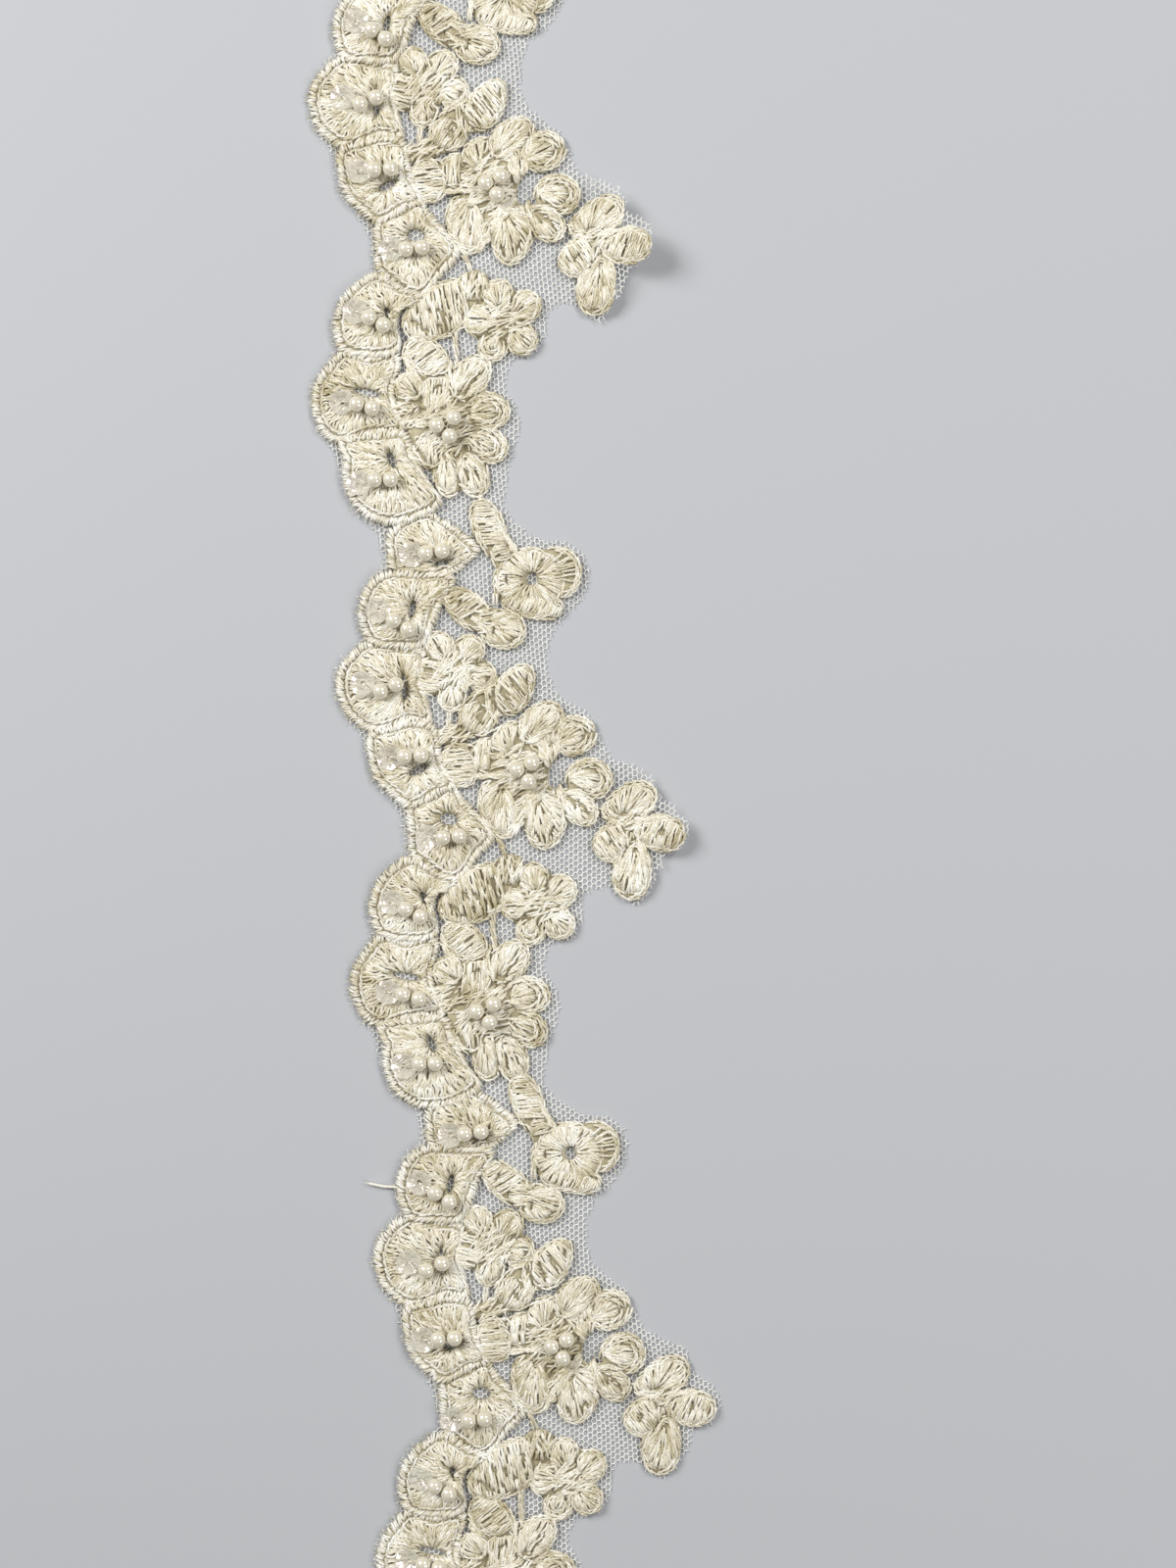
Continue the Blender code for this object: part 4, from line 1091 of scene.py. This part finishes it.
def spokes(lobe, root, inset=0.7, spacing=SPOKE_STEP):
    """Lines from a root point out to the oval's edge, three of each four shorter."""
    ring = even_steps(oval(lobe, 1 - 2 * inset / min(lobe[2:4])), spacing, closed=True)
    ring = ring[np.linalg.norm(ring - root, axis=-1) > 0.5]
    number = np.arange(len(ring))
    start = np.array(SPOKE_STARTS)[number % 4]
    t = start[:, None] + (1 - start[:, None]) * np.linspace(0, 1, LINE_POINTS)
    bend = 0.1 * np.sin(np.pi * t) * np.sin(number * 0.5)[:, None]
    sideways = left_of(unit(ring - root))
    base = root + (ring - ring.mean(0)) * 0.22
    return (base[:, None] + (ring - base)[:, None] * t[..., None]
            + sideways[:, None] * bend[..., None])


def fill_lines(lobe, centre):
    """The lines of a lobe's fill, by its stitch name. A petal's root faces its flower."""
    stitch = lobe[6]
    middle = np.array(lobe[:2])
    toward = unit(np.array(centre) - middle)
    edge = oval(lobe, 0.72)
    root = edge[((edge - middle) @ toward).argmax()]
    if stitch == "satin":
        return chords(lobe, SATIN_SLANT, SATIN_STEP)
    if stitch == "mat":
        lines = chords(lobe, MAT_SLANT, MAT_STEP, inset=0.35)
        mid, turn = lines.mean(1, keepdims=True), dice.normal(0, MAT_TURN, len(lines))
        cos, sin = np.cos(turn), np.sin(turn)
        return mid + np.einsum("nmk,nkj->nmj", lines - mid,
                               np.stack([cos, sin, -sin, cos], -1).reshape(-1, 2, 2))
    if stitch == "nest":
        return spokes(lobe, root, inset=NEST_INSET)
    if stitch == "rays":
        return spokes(lobe, np.array(centre), spacing=RAY_STEP)
    return spokes(lobe, root)


print("kinds of stitch:", sorted({lobe[6] for _, lobes in MOTIFS.values() for lobe in lobes}))

# %% Stitch each motif
# How far inside a lobe's edge each row of its outline lies, and how far above its base.
OUTLINE_ROWS = ((0.17, 0.0), (0.48, 0.16), (0.76, 0.18), (1.25, 0.24), (1.56, 0.28))
WELL_UNDER = 0.15
# A line is laid if less than this part of it lies under the lobes over it.
GROUND_UNDER = 0.8
LOBE_UNDER = 0.55
RAYS_UNDER = 0.85


def covered_by(uv, lobes):
    """True where chart points lie well inside the edge of one of these lobes."""
    return inside_any(uv, lobes, -WELL_UNDER)


def outline_stitches(lobe, lobes, number, repeat, slits):
    """Rows of stem stitches round a lobe: three on the motif's edge, one between lobes.

    A nest has all three rows, and two more inside them. No row crosses a later lobe.
    """
    made = []
    nest = lobe[6] == "nest"
    for row, (inset, up) in enumerate(OUTLINE_ROWS if nest else OUTLINE_ROWS[:3]):
        edge = oval(lobe, 1 - 2 * inset / min(lobe[2:4]))
        bare = ~covered_by(edge, lobes[number + 1:])
        if row in (0, 2) and not nest:
            bare &= ~covered_by(edge, lobes[:number])
        for run in visible_runs(edge, bare):
            made.append(stem_stitches(run, repeat, lobe_base(number) + up, 0.475 * THREAD,
                                      slant=0.2 if row % 2 else -0.2, slits=slits))
    return made


def motif_stitches(name, repeat):
    """The ground, fills and outlines of a motif, as bundles."""
    centre, lobes = MOTIFS[name]
    slits = SLITS.get(name, ())
    made = []
    lines, t = ray_lines(web_ring(name), web_eye(name), 0.3)
    bare = covered_by(lines, lobes).mean(1) < GROUND_UNDER
    if bare.any():
        made.append(stitch_lines(lines[bare], web_height(t)[bare], repeat, length=1.9,
                                 stray=0.09, slits=slits))
    for k, lobe in enumerate(lobes):
        mat = lobe[6] == "mat"
        lines = fill_lines(lobe, centre)
        most = RAYS_UNDER if lobe[6] == "rays" else LOBE_UNDER
        lines = lines[(covered_by(lines, lobes[k + 1:]).mean(1) < most)
                      & ~inside_oval(lines, web_eye(name)).any(1)]
        heights = dome(lines, lobe, lobe_base(k) + 0.1, 0.12 if mat else 0.26)
        if len(lines):
            made.append(stitch_lines(lines, heights, repeat, length=1.6 if mat else 1.9,
                                     stray=0.1 if mat else 0.08, thick=0.35, slits=slits))
        if not mat:
            made += outline_stitches(lobe, lobes, k, repeat, slits)
    if name in STALKS:
        stem = even_steps(np.array(STALKS[name]), 0.5)
        for aside in (-0.2, 0.2):
            made.append(stem_stitches(stem + (aside, 0), repeat, NET_Z + 0.25, STEM_R))
    return made


for repeat in REPEATS:
    for name in MOTIFS:
        make_piece(f"{name}_stitches_{repeat}", gathered(motif_stitches(name, repeat)),
                   stitch_rayon, [f"{name}_{repeat}"])

# %% [markdown]
# ## Beads
# Each pearl is a turned profile with a drilled hole at both ends, and a row's thread
# runs through its holes from the cup sequin. A cup sequin is pressed from thin plastic,
# with eight flat facets round its rim and a hole for the thread.

# %% Pearls and sequins
BORE_R = 0.224
BALL_SIDES = 18
SEWING_R = 0.14
CUP_SIDES = 16


def ball(middle, axis):
    """A drilled ball: points PEARL_R (sin p, cos p) turned about its axis, and its bore."""
    p = np.radians(np.linspace(13, 167, 12))
    r, h = PEARL_R * np.sin(p), PEARL_R * np.cos(p)
    r, h = np.r_[BORE_R, r, BORE_R], np.r_[0.86 * PEARL_R, h, -0.86 * PEARL_R]
    side = unit(np.cross(axis, (0, 0, 1.0)))
    up = np.cross(side, axis)
    a = TAU * np.arange(BALL_SIDES) / BALL_SIDES
    rings = (np.asarray(middle) + axis * h[:, None, None]
             + r[:, None, None] * (np.cos(a)[:, None] * side + np.sin(a)[:, None] * up))
    return skin(rings, tone=dice.uniform())


def cup_sequin(middle, tilt, spin):
    """A pressed cup: a flat foot round the hole, then a slope up to a crimped rim.

    The profile of (radius, height) goes out over the top and back underneath, 0.1 mm lower.
    Each second side is drawn in by 5 % and raised, as the crimp.
    """
    a = TAU * np.arange(CUP_SIDES) / CUP_SIDES + spin
    profile = ((0.4, 0.0), (0.8, 0.0), (1.4, 0.3), (SEQUIN_R, 0.6), (SEQUIN_R, 0.52),
               (1.4, 0.2), (0.8, -0.1), (0.4, -0.1))
    second = np.arange(CUP_SIDES) % 2
    flute, crimp = 1 - 0.05 * second, 0.14 * second
    rings = np.array([np.stack([r * flute * np.cos(a), r * flute * np.sin(a),
                                h + crimp * (r > 1.2)], -1) for r, h in profile])
    rings[..., 2] += tilt[0] * rings[..., 0] + tilt[1] * rings[..., 1]
    return skin(rings + middle, tone=dice.uniform(), hole=True, turned_out=False)


ROW_Z = NET_Z + 1.15
for repeat in REPEATS:
    for name in BEAD_ROWS:
        high = ROW_Z + TIER_STEP * TIER[name]
        cup, first, second = place(bead_row(name, repeat), repeat, high)
        cup = cup - (0, 0, 0.4)
        first, second = first + (0, 0, 0.5), second + (0, 0, 0.45)
        axis = unit(second - first)
        beads = [ball(first, axis), ball(second, axis)]
        ends = [cup + (0, 0, 0.1), cup + (0, 0, 0.9), first - axis * PEARL_R, first, second,
                second + axis * PEARL_R, second + axis * 1.9 - (0, 0, 1.3)]
        thread = tubes(even_steps(np.array(ends), 0.5)[None], SEWING_R)
        make_piece(f"pearls_{repeat}{name}", gathered(beads + [thread]), pearl_plastic,
                   [f"bead_row_{repeat}{name}"])
        tilt = dice.uniform(-0.22, 0.22, 2)
        make_piece(f"cup_sequin_{repeat}{name}", cup_sequin(cup, tilt, dice.uniform(0, 1)),
                   sequin_plastic, smooth=False)
    for name, places in PEARL_TRIOS.items():
        spots = place(np.array(places), repeat, NET_Z + 1.9)
        knot = spots.mean(0)
        beads = []
        for spot in spots:
            out = unit((spot - knot) * (1, 1, 0))
            beads.append(ball(spot, np.cross(out, (0, 0, 1.0))))
            loop = [knot + (0, 0, -1.0), knot + (0, 0, -0.2), spot - out * 0.9 + (0, 0, 0.5)]
            beads.append(tubes(even_steps(np.array(loop), 0.4)[None], SEWING_R))
        make_piece(f"pearls_{name}_{repeat}", gathered(beads), pearl_plastic,
                   [f"pearl_trio_{name}_{repeat}"])

# %% [markdown]
# ## Cut ends
# The border was cut from the net close to the rope, so short ends of net and thread
# bristle along it. One long end of thread was never trimmed.

# %% Whiskers and the loose thread
WHISKER_R = 0.075
LOOSE_R = 0.22
whiskers = []
for repeat in REPEATS:
    for name in FANS:
        ring = even_steps(smooth_ring(FANS[name][0]), 0.36, closed=True)
        away = unit(ring - ring.mean(0))
        keep = (away[:, 0] < -0.15) & ~covered_by_fans(ring, name)
        for other, (outline, _) in FANS.items():
            if other != name:
                keep &= ~inside_ring(ring, smooth_ring(outline, 4))
        ring, away = ring[keep], away[keep]
        reach = dice.uniform(0.1, 0.85, (len(ring), 1)) ** 1.5
        away = unit(away + dice.normal(0, 0.35, away.shape))
        t = np.array((-0.5, 0.4, 1.0))
        path = ring[:, None] + away[:, None] * (reach * t)[..., None]
        high = NET_Z * 0.5 + dice.uniform(0, 0.35, (len(ring), 1)) * (1 + t)
        whiskers.append(tubes(place(path, repeat, high), WHISKER_R, sides=3, tip=2))
loose = np.array(((-4.4, 29.2), (-6.4, 29.5), (-8.4, 29.7), (-10.2, 30.2)))
whiskers.append(tubes(place(even_steps(loose, 0.4), 3, 0.55)[None], LOOSE_R, sides=6,
                      tip=7))
make_piece("cut_thread_ends", gathered(whiskers), stitch_rayon)

# %% [markdown]
# The net is one laid sheet. A pale floor, a faint white sky and three lamps from the
# sides show the relief of the stitches and the gleam of the beads.

floor_mesh = bpy.data.meshes.new("floor")
floor_mesh.from_pydata([(-1.5, -1.5, 0), (1.5, -1.5, 0), (1.5, 1.5, 0), (-1.5, 1.5, 0)], [],
                       [(0, 1, 2, 3)])
floor_mesh.materials.append(
    new_material("pale grey card", Base_Color=linear("#babcbf"), Roughness=0.85)[0])
add_object("floor", floor_mesh)


# Square area lamps 0.8 m from the trim: where they stand, their size in metres, and watts.
LAMPS = {"upper left lamp": ((-0.63, 0.43, 0.64), 0.34, 5.2),
         "upper right lamp": ((0.54, 0.44, 0.71), 0.30, 2.5),
         "lower right lamp": ((0.63, -0.43, 0.64), 0.30, 1.8)}
for name, (toward, size, watts) in LAMPS.items():
    light = bpy.data.lights.new(name, "AREA")
    light.size, light.energy = size, watts
    lamp = add_object(name, light)
    toward = np.array(toward) / np.linalg.norm(toward)
    lamp.location = toward * 0.8
    lamp.rotation_mode = "QUATERNION"
    lamp.rotation_quaternion = Vector(toward).to_track_quat("Z", "Y")
world = bpy.data.worlds.new("studio")
world.use_nodes = True
world.node_tree.nodes["Background"].inputs["Color"].default_value = (1, 1, 1, 1)
world.node_tree.nodes["Background"].inputs["Strength"].default_value = 0.16
bpy.context.scene.world = world
print("lamps:", [light.name for light in bpy.data.lights])

# %% [markdown]
# ## Camera
# It looks straight down from 0.4 m, and it is rolled 3.4 degrees, so that the trim leans.

# %% Camera
bpy.context.scene.view_settings.view_transform = "Standard"
camera_data = bpy.data.cameras.new("camera")
camera_data.lens = 58.5
camera_data.sensor_fit = "AUTO"
camera = add_object("camera", camera_data)
camera.location = (0.0123, 0.0016, 0.400)
camera.rotation_euler = (0, 0, np.radians(-3.4))
bpy.context.scene.camera = camera
print("camera with a", camera_data.lens, "mm lens at", camera.location)
